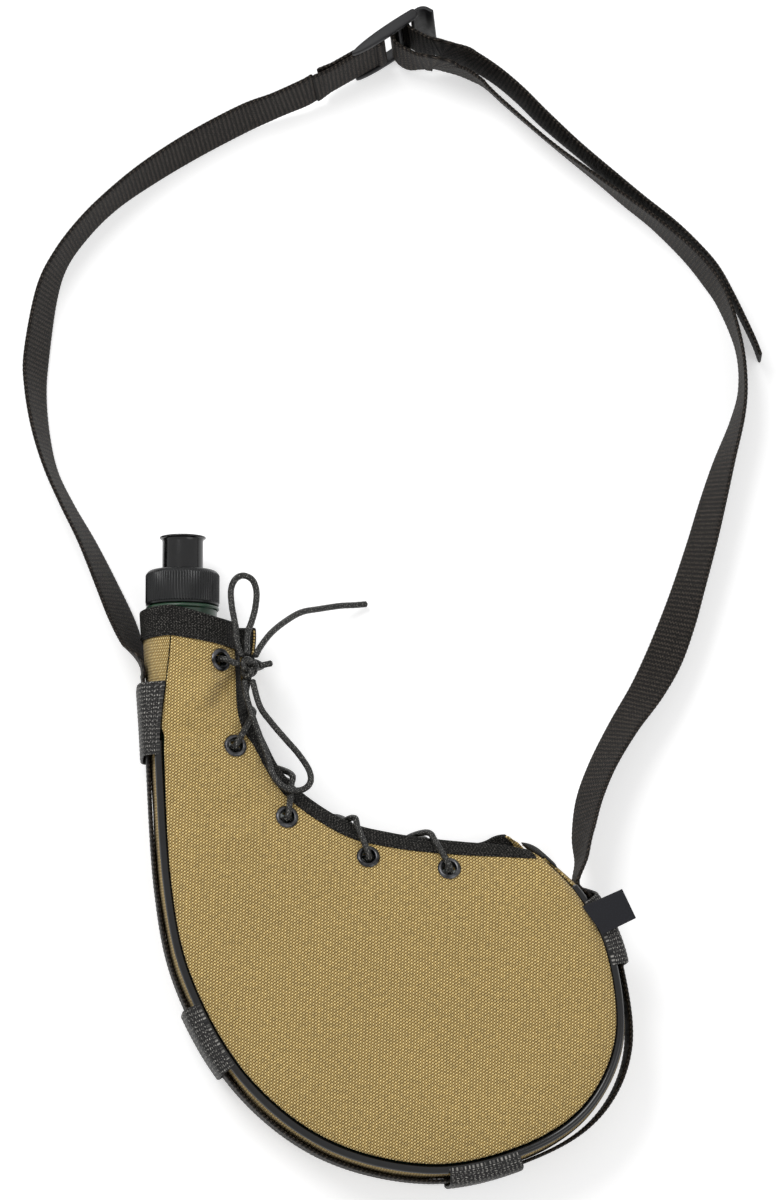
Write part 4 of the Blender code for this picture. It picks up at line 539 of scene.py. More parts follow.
# Waxed braided cord: black, with a thin painted highlight on each plait for its waxy gleam
LACE = black_weave("waxed_braided_lace", 1.5 * MM, 0.79 * MM, 0.8, "090908", "A8A6A0", 0.15, 0.2 * MM, shine=0.3,
                   rough=0.42)
# Polyester sewing thread: small dark grey stitches, a little brighter than the tape under them, with painted
# highlight flecks
THREAD = black_weave("sewing_thread", 0.6 * MM, 0.3 * MM, 0.5, "121110", "5A5854", 0.1, 0.05 * MM, shine=0.3)
# Damask-woven label, bare: nearly black navy, close and flat, with faint painted highlights on its floats
LABEL_WEAVE = black_weave("bare_woven_label", 0.5 * MM, 0.5 * MM, 0.0, "0B0C12", "22232E", 0.1, 0.04 * MM,
                          shine=0.25)
# Vinyl-covered piping: smooth black with a narrow highlight along it
VINYL = moulded("black_vinyl_piping", "070708", 0.16, grain=0.03 * MM, size=0.6 * MM, other="0D0D0F", IOR=1.42)
# Blackened brass, rolled and plated: dark metal with a bright rim
GUNMETAL = moulded("blackened_brass_eyelet", "2E2E2F", 0.3, metallic=1.0, other="545456")
# Polypropylene cap, injection moulded: satin black
CAP_PLASTIC = moulded("black_polypropylene", "0B0C0D", 0.3, grain=0.015 * MM, other="101112", IOR=1.38)
# Polyethylene valve, injection moulded and polished by use: glossy black
VALVE_PLASTIC = moulded("glossy_black_polyethylene", "070708", 0.18, grain=0.01 * MM, other="0C0C0D", IOR=1.42)
# Polyethylene flask, blow-moulded: dark green, waxy, slightly uneven, with some light going into it
GREEN = moulded("green_polyethylene", "1B3324", 0.3, grain=0.02 * MM, size=1.5 * MM, other="22402C", IOR=1.51,
                Subsurface_Weight=0.15, Subsurface_Scale=0.004)
# Moulded rubber gasket: matt grey
RUBBER = moulded("grey_rubber", "4A4A4A", 0.75, grain=0.03 * MM, other="565656")
# Acetal buckle, injection moulded with a fine grain: flat black with soft highlights
BUCKLE_PLASTIC = moulded("black_acetal", "0B0B0D", 0.42, grain=0.03 * MM, size=0.3 * MM, other="111114", IOR=1.36)


# ---------------------------------------------------------------- the cover's surfaces

class Outline:
    """The cover's plan outline and section sizes at stations evenly spaced down its convex edge."""

    def __init__(self):
        fine = np.linspace(0.0, len(CONVEX_EDGE) - 1.0, 4000)
        walked = run_along(smooth_curve(CONVEX_EDGE, fine))
        steps = np.interp(np.linspace(0.0, walked[-1], 440), walked, fine)
        self.convex, self.front_lip = smooth_curve(CONVEX_EDGE, steps), smooth_curve(LACED_EDGE, steps)
        self.run = run_along(self.convex)
        self.length = self.run[-1]
        share = self.run / self.length
        tangent = unit(np.gradient(self.convex, self.run, axis=0))
        self.outward = np.stack([tangent[:, 1], -tangent[:, 0]], axis=1)
        at_neck = 1.0 - smoothstep(share / NECK_LIP_REACH)
        at_end = smoothstep((share - 1.0 + END_LIP_REACH) / END_LIP_REACH)
        self.back_lip = (self.front_lip + at_neck[:, None] * BACK_LIP_AT_NECK
                         + at_end[:, None] * BACK_LIP_AT_END)
        seam_end = smoothstep((share - 1.0 + END_SEAM_REACH) / END_SEAM_REACH)
        self.inset = (GUSSET_BULGE + NECK_WRAP * (1.0 - smoothstep(self.run / NECK_WRAP_LENGTH))
                      - (GUSSET_BULGE - GUSSET_END_BULGE) * smoothstep((share - 0.94) / 0.06))
        self.front_seam = self.convex - self.outward * self.inset[:, None]
        self.back_seam = self.front_seam + seam_end[:, None] * BACK_LIP_AT_END
        self.neckness = 1.0 - smoothstep(self.run / NECK_LENGTH)
        self.endness = smoothstep((share - 0.76) / 0.2)

    def at(self, name, run):
        """A station value at distances along the convex edge, straight between stations."""
        values, run = getattr(self, name), np.atleast_1d(run)
        if values.ndim == 1:
            return np.interp(run, self.run, values)
        return np.stack([np.interp(run, self.run, values[:, c]) for c in range(2)], axis=-1)


class Panel:
    """The front (side 1) or back (side -1) of the cover over run and share across, as in the CAD source.

    From the lip the surface rises on a parabola, stays at its crown and falls on a parabola to the seam:
    height = crown - (crown - lip) * from_lip^2 - (crown - seam) * from_seam^2, cut flat at the ground.
    """

    def __init__(self, outline, side):
        self.outline, self.side = outline, side
        self.lip_name, self.seam_name = ("front_lip", "front_seam") if side > 0 else ("back_lip", "back_seam")
        self.crown, self.reach = (FRONT_CROWN, FRONT_LIP_REACH) if side > 0 else (BACK_CROWN, BACK_LIP_REACH)

    def plain(self, run, across):
        run, across = np.broadcast_arrays(np.asarray(run, float), np.asarray(across, float))
        lip, seam = self.outline.at(self.lip_name, run), self.outline.at(self.seam_name, run)
        neck, end = self.outline.at("neckness", run), self.outline.at("endness", run)
        width = np.linalg.norm(seam - lip, axis=-1)
        seam_rise = GUSSET_WIDTH / 2
        lip_rise = LIP_HEIGHT + (NECK_LIP_HEIGHT - LIP_HEIGHT) * neck
        lip_rise = lip_rise + (seam_rise - MM - lip_rise) * end
        crown = self.crown + (NECK_CROWN - self.crown) * neck
        crown = seam_rise + (crown - seam_rise) * np.minimum(1.0, width / NARROW_WIDTH)
        from_lip = np.clip(1.0 - across * width / np.minimum(self.reach, 0.6 * width), 0.0, 1.0)
        from_seam = np.clip(1.0 - (1.0 - across) * width / np.minimum(SEAM_REACH, 0.4 * width), 0.0, 1.0)
        rise = crown - (crown - lip_rise) * from_lip**2 - (crown - seam_rise) * from_seam**2
        plan = lip + (seam - lip) * across[..., None]
        return raised(plan, np.maximum(MID_HEIGHT + self.side * rise, 0.0))

    def normal(self, run, across):
        """Outward normals, from small steps along and across the surface."""
        run, across = np.broadcast_arrays(np.asarray(run, float), np.asarray(across, float))
        step, share, last = 0.5 * MM, 0.01, self.outline.length
        along = self.plain(np.minimum(run + step, last), across) - self.plain(np.maximum(run - step, 0), across)
        over = self.plain(run, np.minimum(across + share, 1)) - self.plain(run, np.maximum(across - share, 0))
        normals = unit(np.cross(along, over))
        return normals * np.where(normals[..., 2:] * self.side < 0, -1.0, 1.0)

    def offset(self, run, across, height):
        """Points at a height over the surface, which goes straight on past its lip for shares under 0."""
        run, across, height = np.broadcast_arrays(*(np.asarray(v, float) for v in (run, across, height)))
        inside = np.clip(across, 0.0, 1.0)
        slope = (self.plain(run, 0.02 + 0 * inside) - self.plain(run, 0 * inside)) / 0.02
        points = (self.plain(run, inside) + slope * (across - inside)[..., None]
                  + self.normal(run, inside) * height[..., None])
        if self.side < 0:
            points[..., 2] = np.maximum(points[..., 2], 0.0)
        return points

    def width(self, run):
        """Length of cloth over the first tenth of the section, times ten, to turn lengths into shares."""
        ends = self.plain(run, 0.1 + 0 * run) - self.plain(run, 0 * run)
        return np.linalg.norm(ends, axis=-1) * 10.0

    def edge(self, run):
        """The share across at which a panel stops, just short of the seam line."""
        across = self.outline.at(self.seam_name, run) - self.outline.at(self.lip_name, run)
        return 1.0 - (GAP / 2 + piped(run) * PIPING_DIAMETER * 0.45) / np.linalg.norm(across, axis=-1)

    def find(self, place):
        """Run and share across of the surface point over a plan place."""
        run = np.linspace(0.0, self.outline.length, 2400)
        lip, seam = self.outline.at(self.lip_name, run), self.outline.at(self.seam_name, run)
        over, away = seam - lip, place - lip
        turn = over[:, 0] * away[:, 1] - over[:, 1] * away[:, 0]
        share = (over * away).sum(axis=1) / (over**2).sum(axis=1)
        miss = np.abs(turn) / np.linalg.norm(over, axis=1) + 10.0 * np.maximum(0.0, np.abs(share - 0.5) - 0.5)
        best = int(np.argmin(miss))
        return run[best], float(share[best])

    def lip_spot(self, distance):
        """Plan place, inward direction and run of the lip at a distance along it from the neck."""
        lip = getattr(self.outline, self.lip_name)
        along = run_along(lip)
        here, ahead, behind = (np.array([np.interp(distance + d, along, lip[:, c]) for c in range(2)])
                               for d in (0.0, 2 * MM, -2 * MM))
        tangent = unit(ahead - behind)
        return here, np.array((tangent[1], -tangent[0])), float(np.interp(distance, along, self.outline.run))

    def eyelets(self):
        """Centres and normals of the eyelets, spaced along the lip and set back from it."""
        places = []
        for i in range(EYELET_COUNT):
            here, inward, _ = self.lip_spot(EYELET_FIRST + i * EYELET_PITCH)
            run, share = self.find(here + inward * EYELET_SETBACKS[i])
            places.append((self.plain(run, share).reshape(3), self.normal(run, share).reshape(3)))
        return places


def piped(run):
    """1 where the seams hold piping, 0 towards the neck and the far end, where they are plain."""
    return (smoothstep((run - PIPING_START + 6 * MM) / (6 * MM))
            * smoothstep((PIPING_END + 2 * PIPING_RAMP - run) / PIPING_RAMP))


class Gusset:
    """The strip between the panels: a half ellipse across, bulging outwards between the two seams."""

    def __init__(self, outline):
        self.outline = outline

    def plain(self, run, angle, extra=0.0):
        """Points at an angle, 90 degrees at the front seam and -90 at the back; extra grows the ellipse."""
        run, angle, extra = np.broadcast_arrays(*(np.asarray(v, float) for v in (run, angle, extra)))
        front, back = self.outline.at("front_seam", run), self.outline.at("back_seam", run)
        plan = back + (front - back) * ((1.0 + np.sin(angle)) / 2.0)[..., None]
        plan = plan + self.outline.at("outward", run) * ((self.outline.at("inset", run) + extra)
                                                         * np.cos(angle))[..., None]
        height = MID_HEIGHT + (GUSSET_WIDTH / 2 + extra) * np.sin(angle)
        return raised(plan, height)

    def edge_angle(self, run):
        """The angle at which the strip stops, short of the piping or of the other panel."""
        run = np.atleast_1d(run)
        angles = np.linspace(math.pi / 2, 0.4, 300)[None, :]
        inset, share = self.outline.at("inset", run)[:, None], piped(run)[:, None]
        clear = np.hypot(inset * np.cos(angles) - PIPING_OUT * share,
                         GUSSET_WIDTH / 2 * (1.0 - np.sin(angles)) - PIPING_DOWN * share)
        return angles[0, np.argmax(clear > GAP * 1.3 + PIPING_DIAMETER / 2 * share, axis=1)]


OUTLINE = Outline()
FRONT, BACK, GUSSET = Panel(OUTLINE, 1), Panel(OUTLINE, -1), Gusset(OUTLINE)
EYELETS = {FRONT: FRONT.eyelets(), BACK: BACK.eyelets()}


def crease(plan, start, end, depth, width, sideways):
    """Height of a crease along a line: a bell across it, or with sideways a rise beside a fall.

    Bell: exp(-(d / width)^2); rise beside a fall: d / width * exp(0.5 - (d / width)^2 / 2), where d is the
    distance to the line. It fades at both ends of the line.
    """
    start, end = np.array(start) * MM, np.array(end) * MM
    length = np.linalg.norm(end - start)
    along = (end - start) / length
    away = plan - start
    share = (away @ along) / length
    d = (away[..., 0] * along[1] - away[..., 1] * along[0]) / (width * MM)
    shape = d * np.exp(0.5 - d**2 / 2) if sideways else np.exp(-d**2)
    return depth * MM * shape * smoothstep(share / 0.35 + 0.2) * smoothstep((1.15 - share) / 0.5)


def drape(panel, points):
    """How far the cloth stands above its plain surface: creases from the eyelets and a soft ripple of noise."""
    plan = points[..., :2]
    rise = 0.35 * MM * noise(plan, 0.055, 1 if panel.side > 0 else 2)
    if panel.side > 0:
        for row in CREASES:
            rise = rise + crease(plan, *row)
    flat = smoothstep((points[..., 2] - 0.2 * MM) / (2 * MM))
    clear = 1.0
    for place, _ in EYELETS[panel]:
        clear = clear * smoothstep((np.linalg.norm(points - place, axis=-1) - CREASE_CLEAR) / (5 * MM))
    return rise * flat * clear


def cover_cloth(name, panel, node):
    """One panel: its surface plus the drape, with the quads under each eyelet's flange left out."""
    run = np.linspace(0.0, OUTLINE.length, 460)[:, None]
    edge = panel.edge(run[:, 0])[:, None]
    share = np.linspace(0.0, 1.0, 124)[None, :] * edge
    points = panel.plain(run, share)
    borders = smoothstep(share / 0.12) * smoothstep((edge - share) / 0.1) * smoothstep(run / 0.02)
    points = sagged(points + panel.normal(run, share) * (drape(panel, points) * borders)[..., None])
    middle = (points[:-1, :-1] + points[1:, 1:]) / 2
    keep = np.ones(middle.shape[:2], bool)
    for place, _ in EYELETS[panel]:
        keep &= np.linalg.norm(middle - place, axis=-1) > EYELET_BORE_RADIUS + 1.1 * MM
    cloth = surface(name, points, CLOTH, uv=points[..., :2], keep=keep, outwards=(0, 0, panel.side))
    wall = cloth.modifiers.new("thickness", "SOLIDIFY")
    wall.thickness, wall.offset = FABRIC, -1.0
    return dressed(cloth, node)


def gusset_cloth():
    """The side strip: its half ellipse over angles that stop short of the piping."""
    rows, columns = 460, 40
    run = np.linspace(0.0, OUTLINE.length, rows)[:, None]
    angle = GUSSET.edge_angle(run[:, 0])[:, None] * np.linspace(-1.0, 1.0, columns)[None, :]
    ripple = 0.3 * MM * noise(pairs(run, angle * 0.02), 0.04, 3)
    points = sagged(GUSSET.plain(run, angle, ripple * np.cos(angle) - 0.1 * MM))
    strip = surface("gusset_cloth", points, CLOTH, uv=pairs(run, angle * GUSSET_WIDTH / 2))
    row = rows // 4
    face = strip.data.polygons[row * (columns - 1) + columns // 2]
    if face.normal.xy.dot(Vector(OUTLINE.at("outward", run[row])[0])) < 0:
        strip.data.flip_normals()
    wall = strip.modifiers.new("thickness", "SOLIDIFY")
    wall.thickness, wall.offset = FABRIC, -1.0
    return dressed(strip, "gusset")


# ---------------------------------------------------------------- bindings, piping, eyelets and loops

def fold_profile(width_samples=14):
    """A tape folded over a cloth edge, as (share of its width, distance past the edge, height) round it."""
    out, inn, back = GAP + TAPE, -(FABRIC + GAP + TAPE), GAP + TAPE
    share = np.linspace(1.0, 0.0, width_samples)
    turn = np.linspace(math.pi / 2, -math.pi / 2, 9)[1:-1]
    reach, half = back, (out - inn) / 2
    nose = [(0.0, reach * math.cos(t),
             (out + inn) / 2 + half * math.sin(t) - TAPE_SETTLED * (0.5 + 0.5 * math.sin(t))) for t in turn]
    top = [(s, 0.0, out - TAPE_SETTLED + 0.12 * MM * math.sin(math.pi * s)) for s in share]
    bottom = [(s, 0.0, inn) for s in share[::-1]]
    lining = [(s, 0.0, inn + TAPE) for s in share] + [(0.0, GAP, inn + TAPE), (0.0, GAP, GAP)]
    lining += [(s, 0.0, GAP) for s in share[::-1]]
    return np.array(top + nose + bottom + lining)


def tape_uv(grid, width):
    """UV of a folded tape in metres: along the edge, and round the fold."""
    around = run_along(np.concatenate([grid[len(grid) // 2], grid[len(grid) // 2, :1]]))
    along = run_along(grid[:, width])
    return pairs(along[:, None], around[None, :])


def lip_binding(name, panel, node):
    """The tape over a panel's laced edge: the fold profile carried along the lip."""
    start, narrow, full = (panel.lip_spot(d)[2] for d in
                           (COLLAR_TAPE_WIDTH + 2 * GAP, EYELET_FIRST + 6 * MM, EYELET_FIRST + 34 * MM))
    last = OUTLINE.length - 1.7 * LIP_TAPE_WIDTH
    run = np.linspace(start, last, 420)
    width = panel.width(run)
    wider = smoothstep((run - narrow) / (full - narrow))
    covers = LIP_TAPE_START_WIDTH + (LIP_TAPE_WIDTH - LIP_TAPE_START_WIDTH) * wider
    covers = np.minimum(covers, LIP_TAPE_END_WIDTH + 0.25 * (last - run))
    covers = np.minimum(covers, width - LIP_TAPE_WIDTH / 2)
    profile = fold_profile()
    distance = profile[None, :, 0] * covers[:, None] - profile[None, :, 1]
    ripple = 1.0 + 0.25 * noise(np.column_stack([run, run * 0]), 0.02, 5)[:, None]
    height = np.where(profile[None, :, 2] > GAP + 0.2 * TAPE, GAP + (profile[None, :, 2] - GAP) * ripple,
                      profile[None, :, 2] + 0 * ripple)
    grid = panel.offset(run[:, None], distance / width[:, None], height)
    tape = surface(name, grid, BINDING, uv=tape_uv(grid, 14), around=True, ends=True)
    dressed(tape, node)
    inset = np.full(len(run), 1.5 * MM)
    line = panel.offset(run, (covers - inset) / width, GAP + TAPE - TAPE_SETTLED + 0.15 * MM + 0 * run)
    return tape, stitches(name + "_stitches", line, panel.normal(run, (covers - inset) / width))


def stitches(name, line, normal):
    """A row of lockstitches: capsules along a line, each sunk at both ends where the thread dives."""
    length, gap, thick = STITCH_LENGTH, STITCH_GAP, STITCH_THICK
    run = run_along(line)
    count = int(run[-1] / (length + gap))
    starts = np.arange(count) * (length + gap) + gap
    share = np.array((0.0, 0.12, 0.3, 0.5, 0.7, 0.88, 1.0))
    at = starts[:, None] + share[None, :] * length
    centre = np.stack([np.interp(at, run, line[:, c]) for c in range(3)], axis=-1)
    up = unit(np.stack([np.interp(at, run, normal[:, c]) for c in range(3)], axis=-1))
    along = unit(np.gradient(centre, axis=1))
    side = unit(np.cross(along, up))
    lift = np.array((-0.6, -0.1, 0.15, 0.2, 0.15, -0.1, -0.6)) * thick
    size = np.array((0.25, 0.42, 0.5, 0.5, 0.5, 0.42, 0.25)) * thick
    angle = full_turn(6)
    rings = (centre[:, :, None] + up[:, :, None] * lift[None, :, None, None]
             + (side[:, :, None] * np.cos(angle)[None, None, :, None]
                + up[:, :, None] * np.sin(angle)[None, None, :, None]) * size[None, :, None, None])
    rows, sides = len(share), len(angle)
    points = rings.reshape(-1, 3)
    base = (np.arange(count) * rows * sides)[:, None, None]
    i, j = np.meshgrid(np.arange(rows - 1), np.arange(sides), indexing="ij")
    quads = np.stack([i * sides + j, i * sides + (j + 1) % sides, (i + 1) * sides + (j + 1) % sides,
                      (i + 1) * sides + j], axis=-1).reshape(1, -1, 4) + base
    quads = quads.reshape(-1, 4)
    caps = np.concatenate([np.arange(sides)[::-1][None] + base[:, 0], (rows - 1) * sides + np.arange(sides)[None]
                           + base[:, 0]])
    volume = np.sum(points[quads[:, 0]] * np.cross(points[quads[:, 1]] - points[quads[:, 0]],
                                                   points[quads[:, 3]] - points[quads[:, 0]]))
    mesh = bpy.data.meshes.new(name)
    mesh.from_pydata(points.tolist(), [], quads.tolist() + caps.tolist())
    if volume < 0:
        mesh.flip_normals()
    layer = mesh.uv_layers.new(name="UVMap")
    where = np.empty(len(mesh.loops), np.int32)
    mesh.loops.foreach_get("vertex_index", where)
    layer.data.foreach_set("uv", np.stack([where % sides * 0.2 * MM, where // sides * 0.4 * MM],
                                          axis=1).astype(np.float32).ravel())
    return piece(name, mesh, THREAD)


def neck_ring():
    """Round the neck opening, each place as its sheet and the share or angle across it.

    Runs over the front panel from its lip to the seam, over the gusset and back over the back panel.
    """
    samples = 60
    last = GUSSET.edge_angle(0.0)[0]
    spots = [(FRONT, s) for s in np.linspace(0, 1, samples) * FRONT.edge(np.zeros(1))[0]]
    spots += [(GUSSET, a) for a in np.linspace(last, -last, samples // 2)]
    spots += [(BACK, s) for s in np.linspace(1, 0, samples) * BACK.edge(np.zeros(1))[0]]
    return spots


def surface_point(sheet, run, spot, height):
    """A point over a panel or the gusset, at a share or angle across it."""
    return sheet.plain(run, spot, height) if sheet is GUSSET else sheet.offset(run, spot, height)


def folded_along(spots, profile, width, at, step):
    """Points of a folded tape at each spot: profile distances are walked along the cloth from its edge."""
    rows = []
    for sheet, spot in spots:
        height = profile[:, 2]
        edge = surface_point(sheet, at, spot, height)
        ahead = surface_point(sheet, at + step * 2 * MM, spot, height)
        speed = np.linalg.norm(ahead - edge, axis=-1) / (2 * MM)
        inside = surface_point(sheet, at + step * profile[:, 0] * width / speed, spot, height)
        rows.append(inside + unit(edge - ahead) * profile[:, 1:2])
    return np.array(rows)


def sagged(points):
    """Cloth and tape by the collar, let down towards the laced side by a product of two smooth steps."""
    side = smoothstep((points[..., 0] - NECK_X + 8 * MM) / (26 * MM))
    top = smoothstep((points[..., 1] - 99 * MM) / (13 * MM))
    return points - np.stack([0 * side, COLLAR_SAG * side * top, 0 * side], axis=-1)


def collar_binding():
    """Wide tape round the neck opening: the fold profile carried round the neck ring, with a slight wave."""
    profile = fold_profile(22)
    spots = neck_ring()
    grid = folded_along(spots, profile, COLLAR_TAPE_WIDTH, 0.0, 1.0)
    wave = noise(grid[:, 5, :], 0.03, 8)[:, None, None] * 0.25 * MM
    outside = (profile[:, 2] > GAP + 0.2 * TAPE)[None, :, None]
    away = unit(grid - np.array((NECK_X, 0.0, MID_HEIGHT)) * np.array((1, 0, 1)) - grid * np.array((0, 1, 0)))
    grid = sagged(grid + away * wave * outside)
    tape = surface("collar_binding", grid, BINDING, uv=tape_uv(grid, 22), around=True, ends=True)
    dressed(tape, "collar_tape")
    line = sagged(folded_along(spots, np.array([(0.88, 0.0, GAP + TAPE - TAPE_SETTLED + 0.12 * MM)]),
                               COLLAR_TAPE_WIDTH, 0.0, 1.0)[:, 0])
    return tape, stitches("collar_stitches", line, unit(line - np.array((NECK_X, 0, MID_HEIGHT))
                                                        - line * np.array((0, 1, 0))))


def end_binding():
    """Tape over the far end of the gusset, between the two panels' corners."""
    last = math.asin(END_TAPE_REACH)
    spots = [(GUSSET, a) for a in np.linspace(last, -last, 50)]
    grid = folded_along(spots, fold_profile(), LIP_TAPE_WIDTH, OUTLINE.length, -1.0)
    tape = surface("gusset_end_binding", grid, BINDING, uv=tape_uv(grid, 14), around=True, ends=True)
    return dressed(tape, "gusset_end_tape")


def seam_piping(name, side, node):
    """The plastic-covered cord sewn into a seam, on the CAD's line."""
    run = np.linspace(PIPING_START, PIPING_END, 500)
    seam = OUTLINE.at("front_seam" if side > 0 else "back_seam", run)
    plan = seam + OUTLINE.at("outward", run) * PIPING_OUT
    wobble = 0.12 * MM * noise(np.column_stack([run, run * 0]), 0.03, 11 + side)
    path = np.column_stack([plan, MID_HEIGHT + side * (GUSSET_WIDTH / 2 - PIPING_DOWN) + wobble])
    cover = tube(name, path, PIPING_DIAMETER / 2, 20, VINYL, taper=1.2 * MM, tip=0.3)
    return dressed(cover, node)


def eyelet_ring(name, place, normal, allowance, node):
    """A spool of thin metal with a rolled flange outside, a barrel and a washer inside."""
    under, over, barrel = -(FABRIC + allowance + GAP), GAP + 0.1 * MM, EYELET_BORE_RADIUS + EYELET_WALL
    roll = [(EYELET_BORE_RADIUS + 0.1 * MM, over + 0.25 * MM), (EYELET_BORE_RADIUS + 0.35 * MM, over + 0.75 * MM),
            (4.2 * MM, over + 1.0 * MM), (4.9 * MM, over + 0.75 * MM), (EYELET_FLANGE_RADIUS, over + 0.15 * MM),
            (EYELET_FLANGE_RADIUS - 0.1 * MM, over - 0.05 * MM), (barrel, over)]
    wash = [(barrel, under), (EYELET_FLANGE_RADIUS, under), (EYELET_FLANGE_RADIUS, under - EYELET_FLANGE),
            (EYELET_BORE_RADIUS, under - EYELET_FLANGE)]
    ring = turned(name, rounded(roll + wash, 0.35 * MM, 5), GUNMETAL, 64, place, normal)
    return dressed(ring, node)


def basket_relief(u, v):
    """Height between 0 and 1 of slanted floats in columns, half a float further on in every second one.

    |sin(pi along)| * sin(pi inside)^0.6, where along counts floats and inside is the share across a column.
    """
    number = np.floor(v / BASKET_COLUMN)
    odd, inside = np.mod(number, 2), v / BASKET_COLUMN - number
    along = u / BASKET_FLOAT + 0.5 * odd + inside * BASKET_SLANT * (2 * odd - 1)
    return np.abs(np.sin(math.pi * along)) * np.sin(math.pi * inside) ** 0.6


def keeper_loop(name, start, node):
    """A webbing loop sewn at both seams, over the piping: (1 - |share|^6)^(1/6) stands it off by the strap."""
    run = np.linspace(start, start + KEEPER_LENGTH, 78)[:, None]
    reach = GUSSET_WIDTH / 2 + LOOP_OVER
    share = np.sin(np.linspace(-1.0, 1.0, 110) * math.pi / 2)[None, :]
    inset = OUTLINE.at("inset", run[:, 0])[:, None]
    cloth = np.sqrt(np.clip(1.0 - (share * reach / (GUSSET_WIDTH / 2)) ** 2, 0.0, None)) * inset
    arch = (inset + GAP + WEBBING + KEEPER_SLACK) * (1.0 - np.abs(share) ** 6) ** (1 / 6)
    inner = np.maximum(arch, cloth + GAP)
    ends = np.clip(np.minimum(run - run[0], run[-1] - run) / (0.7 * MM), 0.0, 1.0)
    half = KEEPER_WEBBING / 2 * np.sqrt(1.0 - 0.85 * (1.0 - ends) ** 2) + 0 * share
    section = np.column_stack([share[0] * reach, inner[len(run) // 2]])
    v = np.broadcast_to(run_along(section)[None, :], half.shape)
    relief = BASKET_RISE * basket_relief(run + 0 * share, v) * ends
    middle = inner + KEEPER_WEBBING / 2
    seam = OUTLINE.at("front_seam", run[:, 0]), OUTLINE.at("back_seam", run[:, 0])
    outward, height = OUTLINE.at("outward", run[:, 0]), share * reach
    base = seam[1][:, None] + (seam[0] - seam[1])[:, None] * ((1 + height / (GUSSET_WIDTH / 2)) / 2)[..., None]
    rings = []
    for out in (middle + half + relief - 0.15 * MM, middle - half):
        plan = base + outward[:, None] * out[..., None]
        rings.append(raised(plan, np.broadcast_to(MID_HEIGHT + height, out.shape)))
    grid = np.concatenate([rings[0], rings[1][:, ::-1]], axis=1)
    across = np.concatenate([v, v[:, ::-1]], axis=1)
    across = np.concatenate([across, across[:, :1]], axis=1)
    loop = surface(name, grid, BASKET, uv=pairs(run, across), around=True, ends=True)
    return dressed(loop, node)


# ---------------------------------------------------------------- strap and buckle

def web_section():
    """Webbing's section, as (across its thickness, across its width, how much the ribs stand out) in halves."""
    w = np.linspace(-0.97, 0.97, 10)
    face = [(1.0, s, 1.0) for s in w] + [(0.7, 1.0, 0.8), (0.0, 1.03, 1.0), (-0.7, 1.0, 0.8)]
    return np.array(face + [(-1.0, s, 1.0) for s in w[::-1]] + [(-0.7, -1.0, 0.8), (0.0, -1.03, 1.0),
                                                               (0.7, -1.0, 0.8)])


def webbing(name, middle, upright, node):
    """Webbing along a line: its section is set square to the line, and ribs across it rise as a cosine.

    Rib height at a distance u is (1 + cos(2 pi u / pitch)) / 2; edges bulge by the same wave.
    """
    along = unit(np.gradient(middle, axis=0))
    upright = unit(upright - along * np.sum(upright * along, axis=1, keepdims=True))
    face = np.cross(along, upright)
    section, run = web_section(), run_along(middle)
    wave = (1.0 + np.cos(2 * math.pi * run / RIB_PITCH))[:, None] / 2
    ends = np.sqrt(np.clip(np.minimum(run, run[-1] - run) / (0.6 * MM), 0.0, 1.0))[:, None]
    through, width, rib = section.T[:, None]
    thick = through * (WEBBING / 2 * np.maximum(ends, 0.25) + RIB_RISE * (wave - 0.5) * rib)
    edges = np.where(np.abs(width) > 0.99, np.sign(width), 0.0)
    wide = width * WEBBING_WIDTH / 2 + edges * EDGE_RISE * (wave - 0.5)
    grid = middle[:, None] + face[:, None] * thick[..., None] + upright[:, None] * wide[..., None]
    across = run_along(np.concatenate([section[:, :2], section[:1, :2]]) * (WEBBING / 2, WEBBING_WIDTH / 2))
    strap = surface(name, grid, WEBBING_FINISH, uv=pairs(run[:, None], across[None]), around=True, ends=True)
    return dressed(strap, node)


def strap_line(run):
    """Plan places of the strap's middle on the gusset; it stands off a little before the last loop."""
    gap = KEEPER_STARTS[3] - KEEPER_STARTS[2] - KEEPER_LENGTH
    span = np.clip((run - KEEPER_STARTS[2] - KEEPER_LENGTH) / gap, 0.0, 1.0)
    stand = GAP + WEBBING / 2 + STRAP_SLACK * np.sin(math.pi * span) ** 2
    return OUTLINE.at("convex", run) + OUTLINE.at("outward", run) * stand[..., None]


def strap_leaves():
    """For each free run, two route points just off the end of the run on the gusset, in line with it."""
    off = np.array((-WEB_TUCK, 6.0 * MM))
    edge = (MID_HEIGHT - WEBBING_WIDTH / 2 - GAP) / MM
    return [[(*(place / MM), 0.0, edge) for place in strap_line(runs)]
            for runs in (STRAP_SPAN[0] - off, STRAP_SPAN[1] + off)]


def lean_over(points):
    """Places of points given along and across the buckle's own line and up its leaning bars."""
    x, y, z = np.moveaxis(np.asarray(points, dtype=float), -1, 0)
    along = np.array((math.cos(BUCKLE_ANGLE), math.sin(BUCKLE_ANGLE)))
    across = np.array((-along[1], along[0]))
    out = y * math.cos(BUCKLE_LEAN) + z * math.sin(BUCKLE_LEAN)
    plan = BUCKLE_PLACE + x[..., None] * along + out[..., None] * across
    height = z * math.cos(BUCKLE_LEAN) - y * math.sin(BUCKLE_LEAN) + BUCKLE_RISE
    return raised(plan, height)


def web_upright(ease):
    """The webbing's upright near the buckle, from the buckle's own at ease 0 to straight up at ease 1."""
    own = lean_over((0.0, 0.0, 1.0)) - lean_over((0.0, 0.0, 0.0))
    return unit(own + (np.array((0.0, 0.0, 1.0)) - own) * ease)


